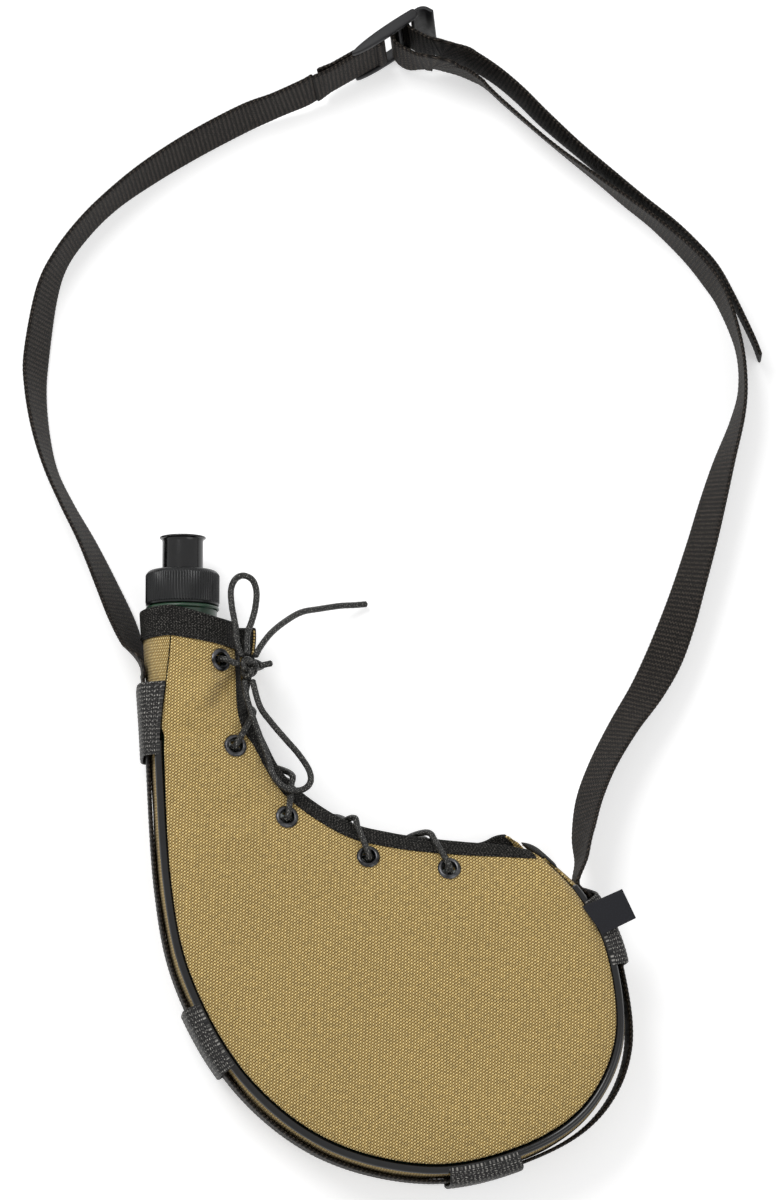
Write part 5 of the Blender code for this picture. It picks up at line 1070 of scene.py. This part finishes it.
def at_buckle(end, inner, arriving, ease=0.0):
    """Two route points of a free strap, at an end of a route in the buckle and in line with it.

    The first lies a little inside that end, so that the two webs read as the one they are.
    """
    end, outwards = np.asarray(end), unit(np.asarray(end) - np.asarray(inner))
    upright = web_upright(ease)
    ahead = lean_over((*outwards, 0.0)) - lean_over((0.0, 0.0, 0.0))
    ahead = unit(ahead[:2]) * (-1.0 if arriving else 1.0)
    sideways, forwards = upright[:2] @ np.array((-ahead[1], ahead[0])), upright[:2] @ ahead
    lean = math.atan2(sideways, upright[2])
    rake = forwards / math.hypot(sideways, upright[2])
    rows = []
    for off in (-WEB_TUCK, 6.0 * MM):
        x, y, z = lean_over((*(end + outwards * off), WEB_HEIGHT))
        edge = z - WEBBING_WIDTH / 2 * math.cos(lean) - WEBBING / 2 * abs(math.sin(lean)) - GAP
        rows.append((x / MM, y / MM, math.degrees(lean), edge / MM, rake))
    return rows[::-1] if arriving else rows


def free_strap(name, route, node):
    """A strap on its route, a smooth curve through the rows.

    A row is x, y, lean of the upper edge to the left, height of the lower edge and, near the buckle, a rake
    forwards as a share of the height.
    """
    even = even_points(np.array([(*row, 0.0)[:5] for row in route]), WEB_STEP / MM)
    lean = np.radians(even[:, 2])
    height = even[:, 3] * MM + WEBBING_WIDTH / 2 * np.cos(lean) + WEBBING / 2 * np.abs(np.sin(lean)) + GAP
    middle = np.column_stack([even[:, :2] * MM, height])
    ahead = unit(np.column_stack([np.gradient(middle[:, :2], axis=0), np.zeros(len(middle))]))
    level = np.column_stack([-ahead[:, 1], ahead[:, 0], np.zeros(len(ahead))])
    upright = (np.array((0.0, 0.0, 1.0)) * np.cos(lean)[:, None] + level * np.sin(lean)[:, None]
               + ahead * even[:, 4:5])
    return webbing(name, middle, unit(upright), node), middle


def level_strap(name, local, node, eases=(0.0, 0.0)):
    """Webbing that stands along the buckle's bars on a route given in the buckle's own plan.

    Near either end it turns from the buckle's upright to the free strap's, by a smooth step.
    """
    even = even_points(local, WEB_STEP)
    middle = lean_over(np.column_stack([even, np.full(len(even), WEB_HEIGHT)]))
    run = run_along(middle)
    ease = (eases[0] * (1 - smoothstep(run / WEB_TURN))
            + eases[1] * smoothstep((run - run[-1] + WEB_TURN) / WEB_TURN))
    return webbing(name, middle, np.array([web_upright(share) for share in ease]), node), middle


def sewn_places(local):
    """Buckle places of points given from the sewn bar, turned about it as the sewn leg runs a little outwards."""
    x, y = np.moveaxis(np.asarray(local, dtype=float), -1, 0)
    c, s = math.cos(SEWN_TURN), math.sin(SEWN_TURN)
    return BUCKLE_BARS[0] + np.stack([x * c + y * s, y * c - x * s], axis=-1)


def sewn_route():
    """Out along one side to the sewn bar, round it and back along the other side."""
    around = BUCKLE_BAR / 2 + GAP * 1.3 + WEBBING / 2
    meet = math.asin(SEWN_SPREAD / around)
    arc = [(around * math.cos(a), around * math.sin(a)) for a in np.linspace(meet - math.pi, math.pi - meet, 13)]
    legs = np.linspace(-SEWN_LEG, -around * math.cos(meet) - 3 * MM, 9)
    return sewn_places([(x, -SEWN_SPREAD) for x in legs] + arc + [(x, SEWN_SPREAD) for x in legs[::-1][:-1]])


def slab(name, plan, inner, low, high, edge, finish):
    """An outline in the buckle's plan carried up its bars with both rims rounded.

    At a turn t of a rim a ring lies 1 - sin t of the way from the plan to the inner outline, and
    edge * (1 - cos t) in from the face.
    """
    turn = np.linspace(0.0, math.pi / 2, 6)
    steps = [(1 - math.sin(t), low + edge * (1 - math.cos(t))) for t in turn]
    steps += [(1 - math.sin(t), high - edge * (1 - math.cos(t))) for t in turn[::-1]]
    grid = np.array([lean_over(np.column_stack([plan + (inner - plan) * s, np.full(len(plan), z)]))
                     for s, z in steps])
    return surface(name, grid, finish, around=True, ends=True)


def united(name, objs, cuts=()):
    """One closed body from overlapping ones by exact Booleans, taken from its finished mesh."""
    body = objs[0]
    for other, operation in [(o, "UNION") for o in objs[1:]] + [(o, "DIFFERENCE") for o in cuts]:
        step = body.modifiers.new(other.name, "BOOLEAN")
        step.operation, step.object, step.solver = operation, other, "EXACT"
    done = bpy.data.meshes.new_from_object(body.evaluated_get(bpy.context.evaluated_depsgraph_get()))
    for obj in (*objs, *cuts):
        bpy.data.objects.remove(obj, do_unlink=True)
    finish = done.materials[0]
    done.materials.clear()
    return piece(name, done, finish)


def rail_outline(inset):
    """A rail's plan, a leaf that is fullest past its middle and blunt at the lip end.

    Half its width is w * sqrt(1 - ((s - 0.58) / 0.58)^2) up to s = 0.58 along it and w * (1 - 1.1 (s - 0.58)^2)
    after that, times a quick round-off over the last tenth.
    """
    share = (1 - np.cos(np.linspace(0.0, math.pi, 48))) / 2
    before = np.sqrt(np.clip(1 - ((share - 0.58) / 0.58) ** 2, 0.0, 1.0))
    width = np.where(share < 0.58, before, 1 - 1.1 * (share - 0.58) ** 2)
    width = width * np.sqrt(np.clip(1 - np.clip((share - 0.93) / 0.07, 0.0, 1.0) ** 4, 0.0, 1.0))
    x = BUCKLE_ENDS[0] + inset + (BUCKLE_ENDS[1] - BUCKLE_ENDS[0] - 2 * inset) * share
    y = width * (BUCKLE_THICKNESS / 2 - inset)
    return np.concatenate([np.column_stack([x, y]), np.column_stack([x, -y])[-2:0:-1]])


def ladder_buckle():
    """Two rounded rails, the sewn bar, the grip bar, and the end bar with its curved lift lip."""
    low, high = GAP, GAP + 2 * (BUCKLE_RAIL + BUCKLE_SIDE_CLEARANCE) + WEBBING_WIDTH
    edge = 0.8 * MM
    plan, inner = rail_outline(0.0), rail_outline(edge)
    parts = [slab("rail", plan, inner, low, low + BUCKLE_RAIL, edge, BUCKLE_PLASTIC),
             slab("far_rail", plan, inner, high - BUCKLE_RAIL, high, edge, BUCKLE_PLASTIC)]
    small = full_turn(32)
    for number, bar in enumerate(BUCKLE_BARS):
        teeth = 1.0 + 0.08 * np.cos(8 * small) * (number == 1)
        ring = BUCKLE_BAR / 2 * np.column_stack([np.cos(small), np.sin(small)]) * teeth[:, None]
        parts.append(slab(f"bar_{number}", bar + ring, bar + 0.8 * ring, low + BUCKLE_RAIL / 2,
                          high - BUCKLE_RAIL / 2, 0.2 * MM, BUCKLE_PLASTIC))
    path = even_points(BUCKLE_LIP, 0.4 * MM)
    along = unit(np.gradient(path, axis=0))
    out = np.column_stack([-along[:, 1], along[:, 0]])
    nose = np.linspace(math.pi / 2, -math.pi / 2, 9)[1:-1]

    def lip_outline(half):
        tip = [path[-1] + half * (out[-1] * math.sin(t) + along[-1] * math.cos(t)) for t in nose]
        return np.concatenate([path + out * half, tip, (path - out * half)[::-1]])
    half = BUCKLE_LIP_THICKNESS / 2
    parts.append(slab("lip", lip_outline(half), lip_outline(half - 0.35 * MM), low + BUCKLE_RAIL / 4,
                      high - BUCKLE_RAIL / 4, 0.35 * MM, BUCKLE_PLASTIC))
    body = joined("ladder_buckle", parts)
    return dressed(body, "buckle")


# ---------------------------------------------------------------- flask, cap and valve

def flask_grid(inward):
    """Rings of the flask's wall, moved inwards by a distance, from the rim to the rounded far end.

    A ring of the belly is half * |cos|^power across and crown * |sin|^power up, with power 2 / (2 + swell), so
    that it squares off as it swells; near the neck rings pass from circles to these by a smooth step. The crown
    falls off as sqrt(1 - close^2) towards the far end.
    """
    sides = 96
    cosine, sine = np.cos(full_turn(sides)), np.sin(full_turn(sides))
    low, high = BEAD_Y - BEAD_WIDTH / 2, BEAD_Y + BEAD_WIDTH / 2
    if inward > 0:
        neck = [(NECK_BORE_RADIUS, RIM_Y), (NECK_BORE_RADIUS, high), (NECK_RADIUS - inward, low - 2 * MM)]
    else:
        bead = np.linspace(0.0, math.pi, 7)
        neck = [(FINISH_RADIUS - 0.4 * MM, RIM_Y), (FINISH_RADIUS, RIM_Y - 0.4 * MM),
                (FINISH_RADIUS, high + 0.2 * MM)]
        neck += [(NECK_RADIUS - 0.8 * MM + (BEAD_RADIUS - NECK_RADIUS + 0.8 * MM) * math.sin(t) ** 0.6,
                  BEAD_Y + BEAD_WIDTH / 2 * math.cos(t)) for t in bead[1:-1]]
        neck += [(NECK_RADIUS, low), (NECK_RADIUS, low - 1 * MM)]
    neck += [(NECK_RADIUS - inward, y) for y in np.linspace(low - 3 * MM, NECK_FOOT_Y, 4)]
    rings = [np.column_stack([NECK_X + r * cosine, np.full(sides, y), MID_HEIGHT + r * sine]) for r, y in neck]
    far_end = 0.86 + 0.09 * np.sin(np.linspace(0, math.pi / 2, 14))
    for s in np.r_[np.linspace(0.02, 0.12, 9), np.linspace(0.12, 0.86, 60)[1:], far_end[1:]]:
        run = np.array([s * OUTLINE.length])
        lip, seam = OUTLINE.at("front_lip", run)[0], OUTLINE.at("front_seam", run)[0]
        convex, outward = OUTLINE.at("convex", run)[0], OUTLINE.at("outward", run)[0]
        across, width = unit(seam - lip), np.linalg.norm(seam - lip)
        near, far = lip + across * min(FLASK_LACED_SETBACK, 0.4 * width), convex - outward * FLASK_EASE
        swell = smoothstep(s / 0.2)
        close = max(0.0, (s - FLASK_END_START) / (FLASK_REACH - FLASK_END_START))
        half = max(np.linalg.norm(far - near) / 2 - inward, 0.4 * MM)
        crown = (NECK_RADIUS + (FLASK_CROWN - NECK_RADIUS) * swell) * math.sqrt(max(0.0, 1 - close**2)) - inward
        power = 2.0 / (2.0 + swell)
        section = np.column_stack([
            (near + far) / 2 + unit(near - far) * half * (np.sign(cosine) * np.abs(cosine) ** power)[:, None],
            MID_HEIGHT + max(crown, 0.4 * MM) * np.sign(sine) * np.abs(sine) ** power])
        turn = smoothstep(s / 0.12)
        circle = np.column_stack([NECK_X + (NECK_RADIUS - inward) * cosine, np.full(sides, (near + far)[1] / 2),
                                  MID_HEIGHT + (NECK_RADIUS - inward) * sine])
        rings.append(circle * (1.0 - turn) + section * turn)
    return rings


def helix(name, root, crest, start, finish):
    """A right-hand screw ridge about the neck: a trapezium carried round while it climbs by the pitch."""
    share = np.linspace(0.0, THREAD_TURNS, 140)[:, None]
    turn = 2 * math.pi * share
    fade = smoothstep(share / 0.08) * smoothstep((THREAD_TURNS - share) / 0.08)
    section = np.array([(0.0, -0.5), (1.0, -0.25), (1.0, 0.25), (0.0, 0.5)])
    radius = root + (crest - root) * section[None, :, 0] * (0.1 + 0.9 * fade)
    y = start + THREAD_PITCH * share + THREAD_WIDTH * section[None, :, 1]
    grid = np.stack([NECK_X + radius * np.cos(turn), y, MID_HEIGHT - radius * np.sin(turn)], axis=-1)
    return surface(name, grid, finish, around=True, ends=True)


def flask_body():
    """A blow-moulded flask: outer wall, rim, inner wall, one closed skin open at the neck, with its thread."""
    outer, inner = flask_grid(0.0), flask_grid(FLASK_WALL)
    body = surface("flask_body", np.array(outer[::-1] + inner), GREEN, around=True, ends=True)
    thread = helix("neck_thread", FINISH_RADIUS - 0.4 * MM, FINISH_RADIUS + THREAD_DEPTH, THREAD_START_Y, GREEN)
    body = joined("flask_body", [body, thread])
    return dressed(body, "flask")


def screw_cap():
    """The ribbed screw cap with its spout tube, the pin that stops the valve, the flow holes and thread.

    Its profile is turned about the neck; a third value in it adds a rib: RIB_DEPTH * (0.5 + 0.5 cos(80 a))^0.7.
    """
    tip, hollow = CAP_TOP + SPOUT_HEIGHT, SPOUT_RADIUS - SPOUT_WALL
    shoulder = [(CAP_OUTER - CAP_CHAMFER + CAP_CHAMFER * math.sin(t),
                 CAP_TOP - CAP_CHAMFER + CAP_CHAMFER * math.cos(t),
                 max(0.0, 1.0 - 2.2 * math.cos(t))) for t in np.linspace(math.pi / 2, 0.0, 10)]
    profile = [(SPOUT_RADIUS + 2 * MM, CAP_CEILING, 0), (CAP_BORE, CAP_CEILING, 0), (CAP_BORE, CAP_BASE, 0),
               (CAP_OUTER - 0.1 * MM, CAP_BASE, 0), (CAP_OUTER + 0.2 * MM, CAP_BASE + 0.2 * MM, 0),
               (CAP_OUTER + 0.25 * MM, CAP_BASE + 0.9 * MM, 0), (CAP_OUTER, CAP_BASE + 1.15 * MM, 0),
               (CAP_OUTER, CAP_BASE + 1.5 * MM, 1), *shoulder, (SPOUT_RADIUS + 1.2 * MM, CAP_TOP + 0.1 * MM, 0),
               (SPOUT_RADIUS, CAP_TOP + 0.2 * MM, 0), (SPOUT_RADIUS, tip, 0), (hollow, tip, 0),
               (hollow, CAP_TOP, 0), (PIN_RADIUS, CAP_TOP, 0), (PIN_RADIUS, tip + VALVE_TOP - 0.5 * MM, 0),
               (PIN_RADIUS - 0.4 * MM, tip + VALVE_TOP - 0.2 * MM, 0)]
    profile = np.array(profile)[::-1]
    angle = full_turn(6 * RIB_COUNT)
    rib = 0.5 + 0.5 * np.cos(RIB_COUNT * angle)
    radius = profile[:, None, 0] + profile[:, None, 2] * (RIB_DEPTH * rib**0.7)[None, :]
    grid = np.stack([NECK_X + radius * np.cos(angle), profile[:, None, 1] + 0 * radius,
                     MID_HEIGHT - radius * np.sin(angle)], axis=-1)
    body = surface("screw_cap", grid, CAP_PLASTIC, around=True, ends=True)
    thread = helix("cap_thread", CAP_BORE + 0.4 * MM, FINISH_RADIUS + 0.4 * MM, THREAD_START_Y + THREAD_PITCH / 2,
                   CAP_PLASTIC)
    ring, holes = full_turn(24), []
    for turn in 2 * math.pi * np.arange(3) / 3 + math.pi / 2:
        off = (PIN_RADIUS + hollow) / 2
        x, z = NECK_X + off * math.cos(turn), MID_HEIGHT + off * math.sin(turn)
        bore = [np.column_stack([x + 1.2 * MM * np.cos(ring), np.full(24, y), z + 1.2 * MM * np.sin(ring)])
                for y in (CAP_CEILING - MM, CAP_TOP + MM)]
        holes.append(surface("flow_hole", np.array(bore), CAP_PLASTIC, around=True, ends=True))
    body = united("screw_cap", [body, thread], holes)
    return dressed(body, "cap")


def valve_sleeve():
    """The push-pull sleeve over the spout tube: a profile with rounded corners turned about the neck."""
    low, under = CAP_TOP + GAP, CAP_TOP + SPOUT_HEIGHT + GAP
    high, hole = under + VALVE_TOP, PIN_RADIUS + GAP
    profile = [(VALVE_BORE, low), (VALVE_OUTER, low), (VALVE_OUTER, high - 2.6 * MM),
               (VALVE_OUTER + 0.3 * MM, high - 1.5 * MM), (VALVE_OUTER + VALVE_RIM, high - 1.1 * MM),
               (VALVE_OUTER + VALVE_RIM, high - 0.4 * MM), (VALVE_OUTER - 0.4 * MM, high),
               (VALVE_OUTER - 1.8 * MM, high), (hole, high), (hole, under), (VALVE_BORE, under)]
    sleeve = turned("valve_sleeve", rounded(profile, 0.45 * MM, 6), VALVE_PLASTIC, 96)
    return dressed(sleeve, "spout_valve")


# ---------------------------------------------------------------- lace and label

def lip_place(panel, distance, beyond_lip, height):
    """A point at a distance along a lip, beyond it in plan, and a height away from the panel's lip."""
    here, inward, run = panel.lip_spot(distance)
    level = panel.plain(run, 0.0).reshape(3)[2]
    return np.array((*(here - inward * beyond_lip), level + panel.side * height))


def by_cloth(panel, distance, setback, height):
    """A point set back from a lip, at a height over the cloth there."""
    here, inward, _ = panel.lip_spot(distance)
    run, share = panel.find(here + inward * setback)
    return panel.offset(run, share, height).reshape(3)


def lace_leg(panel, other, i, crossing):
    """Points of the lace from over one eyelet to just under the next eyelet of the other panel."""
    (place, normal), (goal, goal_normal) = EYELETS[panel][i], EYELETS[other][i - 1]
    start, stop = EYELET_FIRST + i * EYELET_PITCH, EYELET_FIRST + (i - 1) * EYELET_PITCH
    at = start + (stop - start) * np.array((0.2, 0.3, 0.5, 0.68, 0.8))
    cross = (lip_place(panel, at[2], crossing, 0.0) + lip_place(other, at[2], crossing, 0.0)) / 2
    deeper = EYELET_CURVE_ALLOWANCES[i - 1] - EYELET_CURVE_ALLOWANCES[-1]
    return [place + normal * LACE_OVER * 0.8, by_cloth(panel, at[0], 2.5 * MM, LACE_OVER),
            lip_place(panel, at[1], LACE_OVER + 0.2 * MM, 0.0), cross,
            by_cloth(other, at[3], 1.5 * MM, -LACE_UNDER - 0.8 * MM),
            by_cloth(other, at[4], 6.5 * MM, -LACE_UNDER - deeper),
            goal - goal_normal * (LACE_UNDER * 0.85 + 2 * deeper)]


def off_knot(place):
    """The point just off the knot, straight out from its middle towards a place near it."""
    outwards = unit(place - KNOT_PLACE)
    return KNOT_PLACE + outwards * (1.0 / math.sqrt(np.sum((outwards / KNOT_RADII) ** 2)) + 1.4 * GAP)


def laced_route():
    """The lace's held run: from the knot down one zigzag, across inside the far end and up the other."""
    panels, strands = (FRONT, BACK), []
    for first in (0, 1):
        points = []
        for step, i in enumerate(range(EYELET_COUNT - 1, 0, -1)):
            points += lace_leg(panels[(first + step) % 2], panels[(first + step + 1) % 2], i, LACE_CROSSING[first])
        strands.append(points)
    (front_end, front_normal), (back_end, back_normal) = EYELETS[FRONT][-1], EYELETS[BACK][-1]
    last = EYELET_FIRST + 4 * EYELET_PITCH
    inside = [front_end - front_normal * LACE_UNDER, lip_place(FRONT, last, -7 * MM, -10 * MM),
              lip_place(BACK, last, -7 * MM, -10 * MM), back_end - back_normal * LACE_UNDER]
    (front_first, front_up), (back_first, back_up) = EYELETS[FRONT][0], EYELETS[BACK][0]
    to_knot = [front_first + front_up * LACE_OVER * 0.8,
               front_first * 0.5 + KNOT_PLACE * 0.5 + np.array((0.0, 0.0, 2.5 * MM)),
               off_knot(KNOT_PLACE + np.array((-KNOT_RADII[0], 1.5 * MM, 1.0 * MM)))]
    from_back = [back_first + back_up * LACE_OVER * 0.8,
                 by_cloth(BACK, EYELET_FIRST - 3 * MM, 3 * MM, LACE_OVER + 0.4 * MM),
                 lip_place(BACK, EYELET_FIRST - 1 * MM, LACE_OVER + 1.4 * MM, 0.0),
                 lip_place(FRONT, EYELET_FIRST + 3 * MM, LACE_OVER + 2.2 * MM, -6 * MM),
                 off_knot(KNOT_PLACE + np.array((-1.0 * MM, 1.0 * MM, -KNOT_RADII[2])))]
    return np.array(to_knot[::-1] + strands[0][::-1] + inside + strands[1] + from_back)


def braid(run, angle):
    """A braid's relief: two sets of plaits wound both ways, each a sine of angle and run together."""
    turns = 2 * math.pi * run / (6.0 * MM)
    return 1.0 + 0.035 * np.sin(4 * angle + 4 * turns) * np.sin(4 * angle - 4 * turns)


def lace_cord(name, route, node):
    """A stretch of braided lace on the CAD's route; ends near the knot stop just off it."""
    route = [off_knot(p) if i in (0, len(route) - 1) and np.linalg.norm(p - KNOT_PLACE) < KNOT_REACH else p
             for i, p in enumerate(route)]
    path = even_points(np.array(route), LACE_STEP)
    cord = tube(name, path, LACE_DIAMETER / 2, 16, LACE, relief=braid, taper=0.5 * MM, tip=0.55)
    return dressed(cord, node), path


def lace_knot():
    """The knot as the lace wound three times round itself: x = (2 + cos 3t) cos 2t and its like, pulled tight."""
    t = np.linspace(0.0, 2 * math.pi, 220)
    curl = np.column_stack([(2 + np.cos(3 * t)) * np.cos(2 * t), (2 + np.cos(3 * t)) * np.sin(2 * t),
                            2.6 * np.sin(3 * t)])
    path = KNOT_PLACE + curl * (KNOT_RADII - 1.45 * MM) / (3.0, 3.0, 2.6)
    knot = tube("lace_knot_turns", path, 1.45 * MM, 16, LACE, relief=braid)
    return dressed(knot, "lace_knot")


def bare_label():
    """The small folded label sewn in at the seam, left bare: a plate with a soft bend and turned edges."""
    s, t = np.meshgrid(np.linspace(0, 1, 30), np.linspace(0, 1, 40), indexing="ij")
    a, b, c, d = LABEL_CORNERS
    plan = ((a * (1 - s[..., None]) + b * s[..., None]) * (1 - t[..., None])
            + (d * (1 - s[..., None]) + c * s[..., None]) * t[..., None])
    rim = np.minimum(np.minimum(s, 1 - s) * 22, np.minimum(t, 1 - t) * 15)
    bead = 0.06 * MM * (smoothstep(rim / 0.3) - smoothstep(rim / 1.6))
    half = LABEL / 2 * (0.35 + 0.65 * smoothstep(rim / 0.6)) + bead
    low = LABEL_HEIGHTS[0] + (LABEL_HEIGHTS[1] - LABEL_HEIGHTS[0]) * s + LABEL / 2
    level = low + 0.35 * MM * np.sin(math.pi * s) * np.sin(math.pi * t)
    sides = [raised(plan, level + k * half) for k in (1, -1)]
    grid = np.concatenate([sides[0], sides[1][:, ::-1]], axis=1)
    uv = np.concatenate([plan, plan[:, ::-1], plan[:, :1]], axis=1)
    label = surface("bare_label", grid, LABEL_WEAVE, uv=uv, around=True, ends=True)
    return dressed(label, "label")


# ---------------------------------------------------------------- stage, light and camera

def pale_studio():
    """A white floor that keeps the object's shadow, a white background and a plain level of light.

    Camera, glossy and transmission rays see the floor lifted to white by emission, so that a full light on
    it clips to white and only the shadow stays below it.
    """
    made, tree, shader = finish_named("studio_floor", Roughness=1.0, Specular_IOR_Level=0.0,
                                      Base_Color=srgb("EBEBEB"), Emission_Color=(1.0, 1.0, 1.0, 1.0))
    lift = add(tree, MATH, {0: seen_directly(tree), 1: FLOOR_LIFT}, operation="MULTIPLY")
    fill(shader, {"Emission Strength": lift})
    mesh = bpy.data.meshes.new("studio_floor")
    mesh.from_pydata([(x * 3.0, y * 3.0, -0.1 * MM) for x, y in ((-1, -1), (1, -1), (1, 1), (-1, 1))], [],
                     [(0, 1, 2, 3)])
    piece("studio_floor", mesh, made)
    world = bpy.data.worlds.new("studio_world")
    bpy.context.scene.world = world
    world.use_nodes = True
    tree = world.node_tree
    strength = add(tree, "ShaderNodeMapRange", {"Value": seen_directly(tree), "To Min": WORLD_LIGHT, "To Max": 1.0})
    fill(tree.nodes["Background"], {"Color": (1.0, 1.0, 1.0, 1.0), "Strength": strength})
    for name, place, aim, size, power in LAMPS:
        lamp = bpy.data.lights.new(name, "AREA")
        lamp.shape, lamp.size, lamp.energy = "DISK", size, power
        made = bpy.data.objects.new(name, lamp)
        made.location = place
        made.rotation_euler = (Vector(place) - Vector(aim)).to_track_quat("Z", "Y").to_euler()
        bpy.context.scene.collection.objects.link(made)


def seen_directly(tree):
    """1 for rays from the camera, a mirror-like reflection or clear material, 0 for light on surfaces."""
    path = add(tree, "ShaderNodeLightPath")
    either = add(tree, MATH, {0: path.outputs["Is Camera Ray"], 1: path.outputs["Is Glossy Ray"]},
                 operation="MAXIMUM")
    return add(tree, MATH, {0: either, 1: path.outputs["Is Transmission Ray"]}, operation="MAXIMUM").outputs[0]


def photo_camera():
    """The camera at the photograph's angle; its long side is the picture's height."""
    camera = bpy.data.cameras.new("photo_camera")
    made = bpy.data.objects.new("photo_camera", camera)
    bpy.context.scene.collection.objects.link(made)
    ahead = (AIM - EYE).normalized()
    right = ahead.cross(Vector((0.0, 1.0, 0.0))).normalized()
    up = right.cross(ahead)
    made.matrix_world = Matrix(((right.x, up.x, -ahead.x, EYE.x), (right.y, up.y, -ahead.y, EYE.y),
                                (right.z, up.z, -ahead.z, EYE.z), (0.0, 0.0, 0.0, 1.0)))
    camera.sensor_width, camera.sensor_fit = SENSOR, "AUTO"
    camera.lens = SENSOR * (AIM - EYE).length / VIEW_HEIGHT
    bpy.context.scene.camera = made


# ---------------------------------------------------------------- the canteen

def on_cover(*pieces):
    """These pieces move with the cover, the root body."""
    for made in pieces:
        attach(made, "canteen")


def cover():
    """The cover: cloths, bindings with their stitches, piping, label, eyelets and loops."""
    on_cover(cover_cloth("front_cloth", FRONT, "cover_front"), cover_cloth("back_cloth", BACK, "cover_back"),
             gusset_cloth())
    for tape, thread in (lip_binding("front_binding", FRONT, "front_edge_tape"),
                         lip_binding("back_binding", BACK, "back_edge_tape"), collar_binding()):
        on_cover(tape, thread)
    on_cover(end_binding(), seam_piping("front_piping", 1, "piping_front"),
             seam_piping("back_piping", -1, "piping_back"), bare_label())
    for panel, side in ((FRONT, "front"), (BACK, "back")):
        for i, (place, normal) in enumerate(EYELETS[panel]):
            on_cover(eyelet_ring(f"{side}_eyelet_{i + 1}", place, normal, EYELET_CURVE_ALLOWANCES[i],
                                 f"eyelet_{side}_{i + 1}"))
    for i, start in enumerate(KEEPER_STARTS):
        on_cover(keeper_loop(f"keeper_loop_{i + 1}", start, f"strap_loop_{i + 1}"))


def bottle():
    """The flask rides with the cover; the cap and its valve ride on their own bodies, and the gasket stays CAD."""
    on_cover(flask_body())
    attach(screw_cap(), "cap")
    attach(valve_sleeve(), "spout")
    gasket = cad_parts["cap_gasket"]
    gasket.data.materials.clear()
    gasket.data.materials.append(RUBBER)


def strap():
    """The strap: two free lengths, the tail, the run in the loops and its two short ends at the buckle."""
    leaves = strap_leaves()
    sewn = at_buckle(*sewn_places([(-SEWN_LEG, 0.0), (0.0, 0.0)]), True, SEWN_EASE)
    threaded_in = at_buckle(*THREADED_ROUTE[:2], True, IN_EASE)
    threaded_out = at_buckle(*THREADED_ROUTE[:-3:-1], False, OUT_EASE)
    left, left_line = free_strap("strap_left_web", leaves[0] + STRAP_LEFT + sewn, "strap_left")
    right, right_line = free_strap("strap_right_web", leaves[1] + STRAP_RIGHT + threaded_in, "strap_right")
    tail, tail_line = free_strap("strap_tail_web", threaded_out + STRAP_TAIL, "strap_tail")
    runs = np.arange(*STRAP_SPAN, WEB_STEP)
    held = np.column_stack([strap_line(runs), np.full(len(runs), MID_HEIGHT)])
    held = webbing("strap_in_loops", held, np.tile((0.0, 0.0, 1.0), (len(runs), 1)), "strap_gusset_run")
    end, _ = level_strap("strap_sewn_fold", sewn_route(), "strap_sewn_end", (SEWN_EASE, SEWN_EASE))
    threaded, _ = level_strap("strap_through_buckle", THREADED_ROUTE, "strap_threaded", (IN_EASE, OUT_EASE))
    buckle = ladder_buckle()
    on_cover(left, right, tail, held, end)
    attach(threaded, "buckle")
    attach(buckle, "buckle")


def lace():
    """The lace: its held run through the eyelets, the knot, two loops of the bow and two tails."""
    knot = lace_knot()
    short_tail, _ = lace_cord("lace_short_end", SHORT_TAIL, "lace_short_tail")
    held, held_line = lace_cord("lace_in_eyelets", laced_route(), "lace_laced")
    on_cover(knot, short_tail, held)
    for name, route, node, far_end in (("lace_small_loop", SHORT_LOOP, "lace_short_loop", "knot"),
                                       ("lace_big_loop", LONG_LOOP, "lace_long_loop", "knot"),
                                       ("lace_long_end", LONG_TAIL, "lace_long_tail", "bare")):
        cord, line = lace_cord(name, route, node)
        on_cover(cord)


photo_camera()
strap()
lace()
cover()
bottle()
pale_studio()
bpy.context.scene.view_settings.view_transform = "Standard"
bpy.context.view_layer.update()
